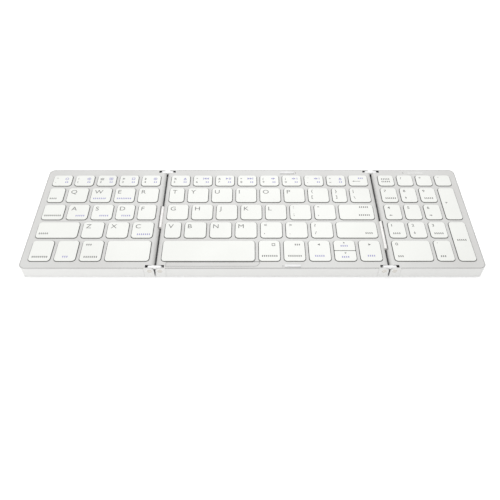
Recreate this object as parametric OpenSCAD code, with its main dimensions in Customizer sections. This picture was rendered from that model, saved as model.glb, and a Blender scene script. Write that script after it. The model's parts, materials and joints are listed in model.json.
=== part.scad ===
// Folding keyboard in three hinged panels with a number pad.
// Frame: X to the right, Y to the rear, Z up. The origin is on the table, under the middle.

/* [Panels] */
// Width of the left panel, outer edge to fold line
left_span = 92.1; // [86:0.1:94]
// Width of the centre panel between the two fold lines
centre_span = 159.1; // [158:0.1:175]
// Width of the right panel, fold line to outer edge
right_span = 65.2; // [60:0.1:67]
// Thickness of a panel without its feet
body_h = 10; // [9.6:0.1:12]
// Radius of the outer corners seen from above
corner_r = 4.5; // [3:0.1:8]
// Radius of the lower outer edges
under_r = 1.5; // [0.5:0.1:2.5]
// Small chamfer on the upper outer edge of the shell
rim_chamfer = 0.2; // [0.1:0.05:0.3]
// Thickness of the shell walls
wall_t = 1.8; // [1.5:0.1:2.4]
// Thickness of the shell wall along a fold
fold_wall_t = 1.5; // [1.2:0.1:2]
// Thickness of the shell floor
floor_t = 1.2; // [1:0.1:1.5]
// Width of the shell rim that shows round the deck
rim_w = 0.5; // [0.4:0.1:1]
// Thickness of the deck plate
deck_t = 1.2; // [1:0.1:1.5]
// Gap between the deck and the shell rim
deck_gap = 0.2; // [0.05:0.05:0.3]

/* [Keys] */
// Deck in front of the first key row
front_margin = 6; // [5.8:0.1:9]
// Deck behind the last key row
rear_margin = 6.6; // [5.4:0.1:8]
// Deck beside the keys at the outer ends
side_margin = 4.9; // [3:0.1:6]
// Deck beside the keys at a fold of a side panel, from the fold line
fold_margin = 4; // [3.8:0.1:6]
// Deck beside the keys at a fold of the centre panel, from the fold line
centre_margin = 3.7; // [3.6:0.1:6]
// Web of the deck between two keys
web = 2; // [1.5:0.1:3]
// Depth of the key openings in the front row
front_row_l = 18.8; // [16:0.1:20]
// Depth of the key openings in the three letter rows
letter_row_l = 15.5; // [13:0.1:17]
// Depth of the key openings in the number row
number_row_l = 12.1; // [11:0.1:16]
// Gap between a cap and its opening
cap_gap = 0.4; // [0.3:0.05:0.6]
// Height of the caps above the deck
cap_proud = 0.6; // [0.3:0.05:0.65]
// Thickness of the top of a cap
cap_top_t = 1; // [0.8:0.1:1.2]
// Thickness of the skirt of a cap
cap_wall_t = 0.9; // [0.7:0.1:1.1]
// Corner radius of a cap
cap_r = 2.2; // [1.5:0.1:2.5]
// Travel of a key
key_travel = 1.4; // [1:0.1:1.5]
// Gap between the skirt of a pressed cap and the membrane
skirt_gap = 0.6; // [0.4:0.1:0.8]
// Gap between the two half-depth arrow keys
half_key_gap = 0.5; // [0.4:0.1:1]

/* [Key widths] */
// Width of the tab key opening
tab_w = 12.2; // [10:0.1:16]
// Width of the caps lock key opening
caps_w = 16; // [13:0.1:18]
// Width of the two narrow letter openings at the left fold
narrow_letter_w = 13.8; // [12:0.1:16]
// Width of the left shift key opening
left_shift_w = 30; // [24:0.1:34]
// Width of the first key opening in the front row
control_w = 15.6; // [13:0.1:17]
// Width of the other modifier key openings
modifier_w = 15.3; // [13:0.1:16]
// Width of the first opening of the top letter row behind the left fold
top_first_w = 11.8; // [11:0.1:16]
// Width of the second bracket key opening
bracket_w = 11.5; // [11:0.1:16]
// Width of the last key opening of the top letter row
slash_w = 15.8; // [12:0.1:18]
// Width of the return key opening
return_w = 25.9; // [22:0.1:30]
// Width of the first opening of the bottom letter row behind the left fold
bottom_first_w = 12; // [11:0.1:16]
// Width of the right shift key opening
right_shift_w = 29.5; // [24:0.1:34]
// Width of an arrow key opening
arrow_w = 15.5; // [13:0.1:16]

/* [Hinges] */
// Distance between the two pins of a fold
pin_spacing = 7; // [7:0.1:8]
// Depth of the pins below the deck
pin_depth = 2.75; // [2.5:0.05:2.8]
// Gap between two panels at a fold
fold_gap = 1.1; // [0.8:0.1:1.3]
// Diameter of a pin
pin_d = 2.4; // [2:0.1:2.6]
// Diameter of the head of a pin
pin_head_d = 3.4; // [3:0.1:3.8]
// Thickness of the head of a pin
pin_head_t = 0.6; // [0.4:0.1:0.8]
// Thickness of a hinge link
link_t = 2; // [1.6:0.1:2.2]
// Radius of the round ends of a link
link_r = 2.2; // [1.8:0.1:2.3]
// Length of the flat bar on top of a link
link_bar_l = 8.8; // [8:0.1:9]
// Depth of the bar of a link below the deck
link_sink = 0.2; // [0.1:0.05:0.4]
// Width of a hinge lug from the fold line
lug_w = 7.4; // [7.2:0.1:9]
// Wall of a lug in front of the link
lug_face_t = 1; // [0.9:0.1:1.2]
// Wall of a lug behind the link
lug_back_t = 2; // [1.6:0.1:2]
// Clearance between a bore and the pin that turns in it
pin_play = 0.03; // [0.01:0.01:0.06]

/* [Cable barrels] */
// Radius of a barrel over a ribbon cable
barrel_r = 1.2; // [0.9:0.05:1.25]
// Radius of the bore of a barrel
barrel_bore_r = 0.7; // [0.4:0.05:0.8]
// Height of the barrel axis above the pins
barrel_rise = 1.3; // [1.1:0.05:1.4]
// Length of the barrel at the left fold
left_barrel_l = 20.4; // [12:0.1:30]
// Distance of the left barrel from the front
left_barrel_v = 38.1; // [20:0.1:55]
// Length of the barrel at the right fold
right_barrel_l = 25.5; // [12:0.1:30]
// Distance of the right barrel from the front
right_barrel_v = 18.2; // [12:0.1:50]
// Thickness of the tongue that holds a barrel
tongue_t = 0.8; // [0.6:0.05:1]
// Thickness of a ribbon cable
ribbon_t = 0.2; // [0.1:0.05:0.3]

/* [Inside] */
// Height of the key support plate above the shell floor
plate_rise = 3.6; // [3.5:0.1:3.8]
// Thickness of the key support plate
plate_t = 0.6; // [0.4:0.1:0.8]
// Thickness of the contact membrane
membrane_t = 0.3; // [0.2:0.05:0.4]
// Largest diameter of a rubber dome at its foot
dome_d = 4.6; // [3.6:0.1:4.8]
// Thickness of a lever of a scissor
lever_t = 0.9; // [0.6:0.1:1]
// Width of a lever of a scissor
lever_w = 0.8; // [0.6:0.1:0.9]
// Largest outside size of a scissor
scissor_l = 10; // [9:0.1:11]
// Diameter of the wire that keeps a wide key level
wire_d = 0.9; // [0.6:0.1:1]
// Length of the battery
battery_l = 62; // [40:0.5:64]
// Width of the battery
battery_w = 46; // [30:0.5:54]
// Thickness of the battery
battery_t = 3.2; // [2.5:0.1:3.4]
// Depth of the main board
board_l = 28; // [20:0.5:30]
// Thickness of the main board
board_t = 0.8; // [0.6:0.1:1]

/* [Ports and details] */
// Distance of the charging port from the right fold
port_u = 34; // [28:0.5:36]
// Width of the charging port opening
port_w = 8.34; // [8.2:0.02:8.5]
// Height of the charging port opening
port_h = 2.56; // [2.4:0.02:2.6]
// Wall of the charging port
port_t = 0.3; // [0.2:0.02:0.32]
// Length of the charging port
port_l = 7.3; // [6.5:0.1:8]
// Distance of the power slider from the right fold
slider_u = 22; // [20:0.5:24]
// Width of the knob of the power slider
slider_w = 3; // [2.5:0.1:3.5]
// Height of the knob of the power slider
slider_h = 1.6; // [1.2:0.1:1.8]
// Travel of the power slider
slider_travel = 2; // [1.5:0.1:2.5]
// Distance of the indicator window from the right fold
window_u = 28.3; // [16:0.1:44]
// Length of the indicator window
window_l = 12.5; // [6:0.1:16]
// Width of the indicator window
window_w = 2.4; // [1.5:0.1:2.6]
// Height of the indicator window above the deck
window_proud = 0.15; // [0.05:0.05:0.3]
// Distance of the bumper pads from the left fold
bumper_u = 88; // [86:0.1:92]
// Length of a bumper pad
bumper_l = 11; // [8:0.1:12]
// Width of a bumper pad
bumper_w = 1.5; // [1.2:0.1:2]
// Height of a bumper pad above the deck
bumper_h = 1.2; // [0.6:0.05:1.25]
// Height of the feet below the shell
foot_h = 0.5; // [0.3:0.1:1]
// Length of a foot
foot_l = 20; // [12:0.5:22]
// Width of a foot
foot_w = 5; // [4:0.1:6]
// Diameter of a screw
screw_d = 1.6; // [1.4:0.1:2]
// Diameter of a screw head
screw_head_d = 3; // [2.6:0.1:3.4]
// Depth of the thumb relief in front of the long space key
relief_depth = 0.35; // [0.1:0.05:0.5]

/* [Hidden] */
$fn = 48;

// The three panels, by number
LEFT = 0;
CENTRE = 1;
RIGHT = 2;

// Gap of a pressed-in piece, gap between pieces that must not touch, room round loose pieces,
// and the overlap of a cut past a face
fit = 0.01;
clear = 0.1;
room = 0.3;
cut = 1;

body_l = front_margin + front_row_l + 3 * letter_row_l + number_row_l + 4 * web + rear_margin;
front = -body_l / 2;
rear = body_l / 2;
left_edge = -(left_span + centre_span + right_span) / 2;
left_fold = left_edge + left_span;
right_fold = left_fold + centre_span;
right_edge = right_fold + right_span;

deck_z = foot_h + body_h;
deck_under_z = deck_z - deck_t;
floor_z = foot_h + floor_t;
pin_z = deck_z - pin_depth;
plate_z = floor_z + plate_rise;
membrane_z = plate_z + plate_t;
switch_z = membrane_z + membrane_t;
cap_top_z = deck_z + cap_proud;
cap_under_z = cap_top_z - cap_top_t;
cap_h = cap_top_z - switch_z - key_travel - skirt_gap;

wall_u = fold_gap / 2;
pin_u = pin_spacing / 2;
roll_u = wall_u + pin_depth;
link_reach = norm([pin_depth - link_sink, (link_bar_l - pin_spacing) / 2]) + 2 * clear;
link_v = lug_face_t + clear;
lug_l = lug_face_t + link_t + 2 * clear + lug_back_t;
pin_end_wall = 0.6;
pin_l = lug_l - pin_end_wall;
barrel_z = pin_z + barrel_rise;
barrel_sweep = 0.6;
tongue_l = 3;

// The ribbon cables and membrane tails are this much narrower than their barrel at each end;
// they reach into the fold, and lie on the membranes inside
ribbon_inset = 2;
tail_reach = 0.4;
tail_u = wall_u - tail_reach;
tail_lap = 2;
ribbon_lap = 1;
ribbon_slot_side = 1;

// Screws and the bosses of the shell that they hold, and the feet
screw_edge = 16;
screw_v = [screw_edge, body_l - screw_edge];
screw_inset = 10.5;
boss_wall = 1.6;
boss_d = screw_d + 2 * boss_wall;
foot_edge = 5;
foot_v = [foot_w / 2 + foot_edge, body_l - foot_w / 2 - foot_edge];
foot_side = 9;
foot_inset = foot_side + foot_l / 2;
foot_sink = 0.3;

// Pads, window, engraved marks and thumb relief on the deck
detail_r = 0.5;
bumper_front = 1.4;
bumper_rear = 3.1;
bumper_sink = 0.3;
bumper_v = [bumper_front, body_l - bumper_rear - bumper_w];
window_rear = 5;
window_v = body_l - window_rear;
window_under = 0.3;
mark_w = 0.4;
mark_l = 1.4;
mark_depth = 0.4;
mark_off = 1.2;
window_mark_off = 3.3;
relief_v = 2;
relief_over = 0.3;
relief_past = 3.2;
groove_w = 0.45;
groove_depth = 0.55;

// Main board between the screw bosses, and what stands on it
board_u = screw_inset + boss_d / 2 + room;
board_w = right_span - 2 * board_u;
chip = [7, 7, 0.9];
socket = [10, 4, 1.1];
switch_body = [8, 3.5, 1.3];
board_back_gap = 1.2;
board_back_v = body_l - wall_t - board_back_gap;
board_rise = 1.2;
board_z = floor_z + board_rise;
standoff_inset = 3;
standoff_d = 4;
port_rise = 0.15;
port_z = board_z + board_t / 2 + port_rise;
port_sink = 0.2;
port_back_t = 0.8;
contact_w = 6.7;
contact_t = 0.7;
contact_v = 1;
slider_rise = 0.55;
slider_z = board_z + board_t + slider_rise;
flange_t = 0.7;
flange_w = 1;

// A cap longer than this has a wire that keeps it level
long_key = 22;
wire_gap = 0.4;
lever_gap = 0.1;

// Key openings of each row from the front to the rear; a 0 takes an equal share of what is left
pad_w = (right_span - fold_margin - side_margin - 3 * web) / 4;
row_widths = [
    [
        [control_w, modifier_w, modifier_w, 0],
        [left_shift_w, 0, 0, 0],
        [caps_w, 0, 0, narrow_letter_w, narrow_letter_w],
        [tab_w, 0, 0, 0, 0],
        [0, 0, 0, 0, 0]
    ],
    [
        [0, modifier_w, modifier_w, arrow_w, arrow_w, arrow_w],
        [bottom_first_w, 0, 0, 0, 0, 0, 0, right_shift_w],
        [0, 0, 0, 0, 0, 0, 0, return_w],
        [top_first_w, 0, 0, 0, 0, 0, 0, bracket_w, slash_w],
        [0, 0, 0, 0, 0, 0, 0, 0, 0]
    ],
    [
        [2 * pad_w + web, pad_w, pad_w],
        [pad_w, pad_w, pad_w, pad_w],
        [pad_w, pad_w, pad_w, pad_w],
        [pad_w, pad_w, pad_w, pad_w],
        [pad_w, pad_w, pad_w, pad_w]
    ]
];
row_lengths = [front_row_l, letter_row_l, letter_row_l, letter_row_l, number_row_l];

function sum(list, n) = n <= 0 ? 0 : list[n - 1] + sum(list, n - 1);
function total(list) = sum(list, len(list));
function zeros(list) = len([for (w = list) if (w == 0) w]);

// Left end and width of the key field of a panel
function field_x(p) = [left_edge + side_margin, left_fold + centre_margin, right_fold + fold_margin][p];
function field_w(p) = [
    left_span - side_margin - fold_margin,
    centre_span - 2 * centre_margin,
    right_span - fold_margin - side_margin
][p];

// Widths of a row with the shares filled in, each share to the nearest hundredth of a millimetre
function shared(p, row) =
    let (list = row_widths[p][row])
    let (share = (field_w(p) - total(list) - (len(list) - 1) * web) / max(1, zeros(list)))
    [for (w = list) w == 0 ? round(share * 100) / 100 : w];

// A key opening as [x0, y0, x1, y1]
function opening(p, row, i) =
    let (list = shared(p, row))
    let (x0 = field_x(p) + sum(list, i) + i * web)
    let (y0 = front + front_margin + sum(row_lengths, row) + row * web)
    [x0, y0, x0 + list[i], y0 + row_lengths[row]];
function joined(a, b) = [a[0], a[1], b[2], b[3]];
function row_openings(p, row, from, to) = [for (i = [from : to]) opening(p, row, i)];
function row_last(p, row) = len(row_widths[p][row]) - 1;

plus_opening = joined(opening(RIGHT, 2, 3), opening(RIGHT, 3, 3));
enter_opening = [
    opening(RIGHT, 1, 3)[0],
    opening(RIGHT, 0, 2)[1],
    opening(RIGHT, 1, 3)[2],
    opening(RIGHT, 1, 3)[3]
];
arrow_opening = opening(CENTRE, 0, 4);
arrow_middle = (arrow_opening[1] + arrow_opening[3]) / 2;

// Every key opening of a panel
function openings(p) = p != RIGHT
    ? [for (row = [0 : 4], i = [0 : row_last(p, row)]) opening(p, row, i)]
    : concat(
        row_openings(RIGHT, 0, 0, 1),
        [for (row = [1 : 3], i = [0 : 2]) opening(RIGHT, row, i)],
        row_openings(RIGHT, 4, 0, 3),
        [plus_opening, enter_opening]
    );

// A cap as [x0, y0, x1, y1], inside its opening
function cap_of(o) = [o[0] + cap_gap, o[1] + cap_gap, o[2] - cap_gap, o[3] - cap_gap];
down_cap = cap_of([
    arrow_opening[0], arrow_opening[1],
    arrow_opening[2], arrow_middle - half_key_gap / 2 + cap_gap
]);
up_cap = cap_of([
    arrow_opening[0], arrow_middle + half_key_gap / 2 - cap_gap,
    arrow_opening[2], arrow_opening[3]
]);

// Every cap of a panel
function caps_of(p) = p != CENTRE
    ? [for (o = openings(p)) cap_of(o)]
    : concat(
        [for (o = openings(p)) if (o != arrow_opening) cap_of(o)],
        [down_cap, up_cap]
    );

// The fold lines that a panel has, each with the side on which the panel lies
function folds(p) = [
    [[left_fold, -1]],
    [[left_fold, 1], [right_fold, -1]],
    [[right_fold, 1]]
][p];

function panel_x0(p) = [left_edge, left_fold, right_fold][p];
function panel_x1(p) = [left_fold, right_fold, right_edge][p];

// Screw places along X: near each end, and in the middle of the centre panel
function screw_x(p) = p == CENTRE
    ? [panel_x0(p) + screw_inset, (panel_x0(p) + panel_x1(p)) / 2, panel_x1(p) - screw_inset]
    : [panel_x0(p) + screw_inset, panel_x1(p) - screw_inset];
function foot_x(p) = [panel_x0(p) + foot_inset, panel_x1(p) - foot_inset];

white = "#f4f3f0";
shell_grey = "#dcdcdc";
steel = "#b9bcc0";
rubber = "#cfd0d0";

// Local frame at a fold: X counts from the fold line into the panel
module at_fold(fold) {
    translate([fold[0], 0, 0]) mirror([fold[1] < 0 ? 1 : 0, 0, 0]) children();
}

// Repeats a thing at the front and, mirrored, at the rear; Y counts from the edge
module at_both_ends() {
    for (side = [0, 1]) mirror([0, side, 0]) translate([0, front, 0]) children();
}

// Extrudes an outline drawn in X and Z along Y
module along_y(y0, y1) {
    translate([0, y1, 0]) rotate([90, 0, 0]) linear_extrude(y1 - y0) children();
}

// Extrudes an outline drawn in Y and Z along X
module along_x(x0, x1) {
    translate([x0, 0, 0]) rotate([90, 0, 90]) linear_extrude(x1 - x0) children();
}

module block(x0, y0, z0, x1, y1, z1) {
    translate([x0, y0, z0]) cube([x1 - x0, y1 - y0, z1 - z0]);
}

module rounded_rect(box, r) {
    translate([box[0] + r, box[1]]) square([box[2] - box[0] - 2 * r, box[3] - box[1]]);
    translate([box[0], box[1] + r]) square([box[2] - box[0], box[3] - box[1] - 2 * r]);
    for (x = [box[0] + r, box[2] - r], y = [box[1] + r, box[3] - r]) translate([x, y]) circle(r = r);
}

// A slot with round ends, lying along X and centred
module stadium(length, width) {
    square([length - width, width], center = true);
    for (side = [-1, 1]) translate([side * (length - width) / 2, 0]) circle(d = width);
}

// Plan of a panel, drawn in from its outer edges by inset and from its fold lines by fold_u
module panel_plan(p, inset, fold_u) {
    x0 = p == LEFT ? left_edge + inset : panel_x0(p) + fold_u;
    x1 = p == RIGHT ? right_edge - inset : panel_x1(p) - fold_u;
    y0 = front + inset;
    y1 = rear - inset;
    middle = (x0 + x1) / 2;
    if (p == CENTRE) {
        translate([x0, y0]) square([x1 - x0, y1 - y0]);
    } else {
        rounded_rect([x0, y0, x1, y1], corner_r - inset);
        translate([p == LEFT ? middle : x0, y0]) square([(x1 - x0) / 2, y1 - y0]);
    }
}

// Section of a shell with rounded lower corners and chamfered upper ones
module shell_section(a0, a1, r0, r1, c0, c1) {
    difference() {
        translate([a0, foot_h]) square([a1 - a0, body_h]);
        translate([a0, foot_h]) corner_cut(r0);
        translate([a1, foot_h]) mirror([1, 0]) corner_cut(r1);
        translate([a0, deck_z]) polygon([[-cut, cut], [-cut, -c0 - cut], [c0 + cut, cut]]);
        translate([a1, deck_z]) polygon([[cut, cut], [cut, -c1 - cut], [-c1 - cut, cut]]);
    }
}

// What a round of radius r takes off a corner at the origin
module corner_cut(r) {
    difference() {
        translate([-cut, -cut]) square(r + cut);
        translate([r, r]) circle(r = r);
    }
}

// Upper fold edge of a deck, from the pin level up, rolled over towards the fold
module roll_section(margin) {
    intersection() {
        translate([roll_u, pin_z]) circle(r = pin_depth);
        translate([wall_u, pin_z]) square([pin_depth, pin_depth]);
    }
    translate([roll_u, pin_z]) square([margin - roll_u, pin_depth]);
}

// Hinge lug: the rolled edge carried down to the shell floor
module lug_section() {
    roll_section(lug_w);
    translate([wall_u, floor_z]) square([lug_w - wall_u, pin_z - floor_z]);
}

// Room for the pin, its head and the link inside a lug
module lug_cuts() {
    translate([pin_u, 0, pin_z]) {
        rotate([-90, 0, 0]) cylinder(d = pin_d + 2 * fit, h = pin_l + clear);
        translate([0, -cut, 0]) rotate([-90, 0, 0]) {
            cylinder(d = pin_head_d + 2 * fit, h = pin_head_t + cut);
        }
    }
    block(
        -cut, lug_face_t, pin_z - link_reach,
        pin_u + link_reach, lug_face_t + link_t + 2 * clear, deck_z + cut
    );
}

// Space round a cable barrel, from the front v over a length
module barrel_space(v, length, gap) {
    along_y(front + v - gap, front + v + length + gap) {
        translate([0, barrel_z]) circle(r = barrel_r + gap);
    }
}

module panel_margin_deck(p) {
    margin = p == CENTRE ? centre_margin : fold_margin;
    translate([0, 0, deck_under_z]) linear_extrude(deck_t) panel_plan(p, rim_w + deck_gap, roll_u);
    for (fold = folds(p)) at_fold(fold) {
        along_y(front, rear) roll_section(margin);
        at_both_ends() along_y(0, lug_l) lug_section();
    }
}

// Barrel place at a fold line, as [distance from the front, length]
function barrel_at(fold) = fold[0] == left_fold
    ? [left_barrel_v, left_barrel_l]
    : [right_barrel_v, right_barrel_l];

module deck(p) {
    color(shell_grey) difference() {
        panel_margin_deck(p);
        translate([0, 0, deck_under_z - cut]) linear_extrude(deck_t + 2 * cut) {
            for (o = openings(p)) rounded_rect(o, cap_r + cap_gap);
        }
        for (fold = folds(p)) at_fold(fold) {
            at_both_ends() lug_cuts();
            barrel_space(
                barrel_at(fold)[0], barrel_at(fold)[1],
                p == CENTRE ? clear : barrel_sweep
            );
        }
        if (p == CENTRE) {
            for (fold = folds(p)) at_fold(fold) tongue(barrel_at(fold), clear / 2);
            thumb_relief();
            for (v = bumper_v) bumper_shape(v, deck_z - bumper_sink, deck_z + cut, 2 * fit);
            mark(left_fold + bumper_u - mark_off, bumper_v[0]);
            mark(left_fold + bumper_u + bumper_l + mark_off, bumper_v[1]);
        }
        if (p == RIGHT) {
            window_shape(deck_under_z - cut, deck_z + cut, 2 * fit);
            mark(right_fold + window_u - window_mark_off, window_v + detail_r);
        }
    }
}

// Small engraved mark beside a pad or window
module mark(x, v) {
    block(x - mark_w / 2, front + v, deck_z - mark_depth, x + mark_w / 2, front + v + mark_l, deck_z + cut);
}

// Plan of the thumb relief, drawn in by inset
module relief_plan(inset) {
    r = front_margin - relief_v - inset;
    end = centre_margin + shared(CENTRE, 0)[0] + relief_past - inset - r;
    translate([lug_w, front_margin - r]) square([end - lug_w, r + relief_over]);
    intersection() {
        translate([end, front_margin]) circle(r = r);
        translate([end, front_margin - r]) square([r, r + relief_over]);
    }
}

module thumb_relief() {
    translate([left_fold, front, 0]) {
        translate([0, 0, deck_z - relief_depth]) linear_extrude(cut) relief_plan(0);
        translate([0, 0, deck_z - groove_depth]) linear_extrude(cut) difference() {
            relief_plan(0);
            relief_plan(groove_w);
        }
    }
}

module bumper_shape(v, z0, z1, grow) {
    x0 = left_fold + bumper_u;
    box = [x0 - grow, front + v - grow, x0 + bumper_l + grow, front + v + bumper_w + grow];
    translate([0, 0, z0]) linear_extrude(z1 - z0) rounded_rect(box, detail_r);
}

module window_shape(z0, z1, grow) {
    x0 = right_fold + window_u;
    box = [x0 - grow, front + window_v - grow, x0 + window_l + grow, front + window_v + window_w + grow];
    translate([0, 0, z0]) linear_extrude(z1 - z0) rounded_rect(box, detail_r);
}

// Outer form of a shell before it is hollowed
module shell_form(p) {
    x0 = p == LEFT ? left_edge : panel_x0(p) + wall_u;
    x1 = p == RIGHT ? right_edge : panel_x1(p) - wall_u;
    fold_r = 0.5;
    intersection() {
        translate([0, 0, foot_h]) linear_extrude(body_h) panel_plan(p, 0, wall_u);
        along_y(front - cut, rear + cut) shell_section(
            x0, x1,
            p == LEFT ? under_r : fold_r, p == RIGHT ? under_r : fold_r,
            p == LEFT ? rim_chamfer : -cut, p == RIGHT ? rim_chamfer : -cut
        );
        along_x(left_edge - cut, right_edge + cut) shell_section(
            front, rear, under_r, under_r, rim_chamfer, rim_chamfer
        );
    }
}

module shell(p) {
    color(white) difference() {
        union() {
            difference() {
                shell_form(p);
                translate([0, 0, floor_z]) linear_extrude(body_h) {
                    panel_plan(p, wall_t, wall_u + fold_wall_t);
                }
                translate([0, 0, deck_under_z]) linear_extrude(deck_t + cut) panel_plan(p, rim_w, -cut);
                for (fold = folds(p)) at_fold(fold) {
                    margin = p == CENTRE ? centre_margin : fold_margin;
                    block(-cut, front - cut, pin_z, margin + clear, rear + cut, deck_z + cut);
                    at_both_ends() block(-cut, -cut, floor_z, lug_w + clear, lug_l + clear, deck_z + cut);
                }
            }
            for (x = screw_x(p), v = screw_v) translate([x, front + v, floor_z - clear]) {
                cylinder(d = boss_d, h = plate_z - floor_z + clear);
            }
            if (p == RIGHT) board_standoffs();
        }
        for (x = screw_x(p), v = screw_v) translate([x, front + v, 0]) {
            cylinder(d = screw_d + 2 * clear, h = plate_z + cut);
            cylinder(d = screw_head_d + room, h = floor_z);
        }
        for (x = foot_x(p), v = foot_v) translate([x, front + v, 0]) {
            linear_extrude(foot_h + foot_sink) stadium(foot_l + 4 * fit, foot_w + 4 * fit);
        }
        for (fold = folds(p)) at_fold(fold) {
            ribbon_slot(barrel_at(fold));
            if (p != CENTRE) barrel_space(barrel_at(fold)[0], barrel_at(fold)[1], barrel_sweep);
        }
        if (p == RIGHT) {
            port_opening();
            slider_opening();
        }
    }
}

// Slot in a fold wall for the ribbon cable and the membrane tail
module ribbon_slot(place) {
    block(
        -cut, front + place[0] + ribbon_inset - ribbon_slot_side, membrane_z - clear,
        wall_u + fold_wall_t + cut, front + place[0] + place[1] - ribbon_inset + ribbon_slot_side,
        switch_z + ribbon_t + clear
    );
}

module board_standoffs() {
    us = [board_u + standoff_inset, board_u + board_w - standoff_inset];
    vs = [board_back_v - board_l + standoff_inset, board_back_v - standoff_inset];
    for (u = us, v = vs) translate([right_fold + u, front + v, floor_z - clear]) {
        cylinder(d = standoff_d, h = board_z - floor_z + clear);
    }
}

module port_opening() {
    translate([right_fold + port_u, rear + cut, port_z]) rotate([90, 0, 0]) {
        linear_extrude(wall_t + 2 * cut) stadium(port_w + 2 * port_t + room, port_h + 2 * port_t + room);
    }
}

module slider_opening() {
    x = right_fold + slider_u;
    half_h = slider_h / 2 + room;
    block(
        x - slider_w / 2 - room, rear - wall_t - cut, slider_z - half_h,
        x + slider_w / 2 + slider_travel + room, rear + cut, slider_z + half_h
    );
}

// Flat sheet inside a panel, clear of the walls and hinge lugs
module inner_sheet(p, z, t, gap) {
    difference() {
        translate([0, 0, z]) linear_extrude(t) panel_plan(p, wall_t + gap, wall_u + fold_wall_t + gap);
        for (fold = folds(p)) at_fold(fold) at_both_ends() {
            block(-cut, -cut, z - cut, lug_w + gap, lug_l + gap, z + t + cut);
        }
    }
}

module support_plate(p) {
    color(steel) difference() {
        inner_sheet(p, plate_z, plate_t, room);
        for (x = screw_x(p), v = screw_v) translate([x, front + v, plate_z - cut]) {
            cylinder(d = screw_d + 2 * fit, h = plate_t + 2 * cut);
        }
    }
}

function cap_centre(c) = [(c[0] + c[2]) / 2, (c[1] + c[3]) / 2];

// Contact membrane with a rubber dome under each key, and on a side panel a tail to the ribbon cable
module membrane(p) {
    color(rubber) {
        inner_sheet(p, membrane_z, membrane_t, room + clear);
        for (c = caps_of(p)) translate([cap_centre(c)[0], cap_centre(c)[1], switch_z - membrane_t / 2]) {
            foot = min(dome_d, min(lever_size(c)) / 2);
            cylinder(d1 = foot, d2 = foot * 0.6, h = cap_under_z - switch_z + membrane_t / 2);
        }
        if (p != CENTRE) for (fold = folds(p)) at_fold(fold) {
            place = barrel_at(fold);
            block(
                tail_u, front + place[0] + ribbon_inset, membrane_z,
                wall_u + fold_wall_t + tail_lap, front + place[0] + place[1] - ribbon_inset,
                membrane_z + membrane_t
            );
        }
    }
}

// Outside size of a scissor, made to fit inside the skirt of a cap
function lever_size(c) = [
    min(scissor_l, c[2] - c[0] - 2 * cap_wall_t - 2 * room),
    min(scissor_l, c[3] - c[1] - 2 * cap_wall_t - 2 * room)
];

// Tilt at which a lever of a length reaches from the membrane to the top of a cap
function lever_tilt(length) =
    asin((cap_under_z - switch_z - 4 * fit) / norm([length, lever_t])) - atan2(lever_t, length);

// Two nested levers of a scissor, crossed under a cap; their sides run along the shorter way of the cap
module scissor(c) {
    size = lever_size(c);
    turn = c[2] - c[0] > c[3] - c[1] ? 90 : 0;
    length = min(size);
    width = max(size);
    nested = width - 2 * (lever_w + lever_gap);
    translate([cap_centre(c)[0], cap_centre(c)[1], (switch_z + cap_under_z) / 2]) rotate([0, 0, turn]) {
        rotate([0, lever_tilt(length), 0]) lever(length, width);
        rotate([0, -lever_tilt(length), 0]) lever(length, nested);
    }
}

module lever(length, width) {
    difference() {
        cube([length, width, lever_t], center = true);
        cube([length - 2 * lever_w, width - 2 * lever_w, lever_t + cut], center = true);
    }
}

// Wire that keeps a wide or a tall key level
module level_wire(c) {
    size = [c[2] - c[0], c[3] - c[1]];
    reach = max(size) / 2 - cap_wall_t - 4 * room;
    start = scissor_l / 2 + wire_gap;
    turn = size[0] > size[1] ? 0 : 90;
    for (side = [-1, 1]) translate([cap_centre(c)[0], cap_centre(c)[1], switch_z + wire_d / 2]) {
        rotate([0, 0, turn]) translate([side * start, 0, 0]) rotate([0, side * 90, 0]) {
            cylinder(d = wire_d, h = reach - start);
        }
    }
}

function is_long(c) = max(c[2] - c[0], c[3] - c[1]) > long_key;

module scissors(p) {
    color(white) for (c = caps_of(p)) {
        scissor(c);
        if (is_long(c)) level_wire(c);
    }
}

module feet(p) {
    color(rubber) for (x = foot_x(p), v = foot_v) translate([x, front + v, 0]) {
        linear_extrude(foot_h + foot_sink) stadium(foot_l, foot_w);
    }
}

module screws(p) {
    head_z = foot_h + 2 * clear;
    slot_w = 0.4;
    head_h = floor_z - head_z;
    color(steel) for (x = screw_x(p), v = screw_v) translate([x, front + v, head_z]) difference() {
        union() {
            cylinder(d = screw_head_d, h = head_h);
            cylinder(d = screw_d, h = plate_z + plate_t - head_z);
        }
        for (turn = [0, 90]) rotate([0, 0, turn]) cube([screw_head_d * 0.6, slot_w, 1], center = true);
    }
}

// Pins pressed into the lugs of a panel; their heads show on the front and rear faces
module pins(p) {
    color(steel) for (fold = folds(p)) at_fold(fold) at_both_ends() {
        translate([pin_u, 0, pin_z]) rotate([-90, 0, 0]) {
            cylinder(d = pin_head_d, h = pin_head_t);
            cylinder(d = pin_d, h = pin_l);
        }
    }
}

// Link between the two pins of a fold, with the flat bar that shows on top
module link() {
    along_y(link_v, link_v + link_t) difference() {
        union() {
            square([pin_spacing, 2 * link_r], center = true);
            for (side = [-1, 1]) translate([side * pin_u, 0]) circle(r = link_r);
            translate([-link_bar_l / 2, 0]) square([link_bar_l, pin_depth - link_sink]);
        }
        for (side = [-1, 1]) translate([side * pin_u, 0]) circle(r = pin_d / 2 + pin_play);
    }
}

module links(fold_x) {
    color(white) translate([fold_x, 0, pin_z]) at_both_ends() link();
}

module tongue(place, grow) {
    block(
        0, front + place[0] - grow, pin_z,
        tongue_l + grow, front + place[0] + place[1] + grow, pin_z + tongue_t + grow
    );
}

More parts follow.
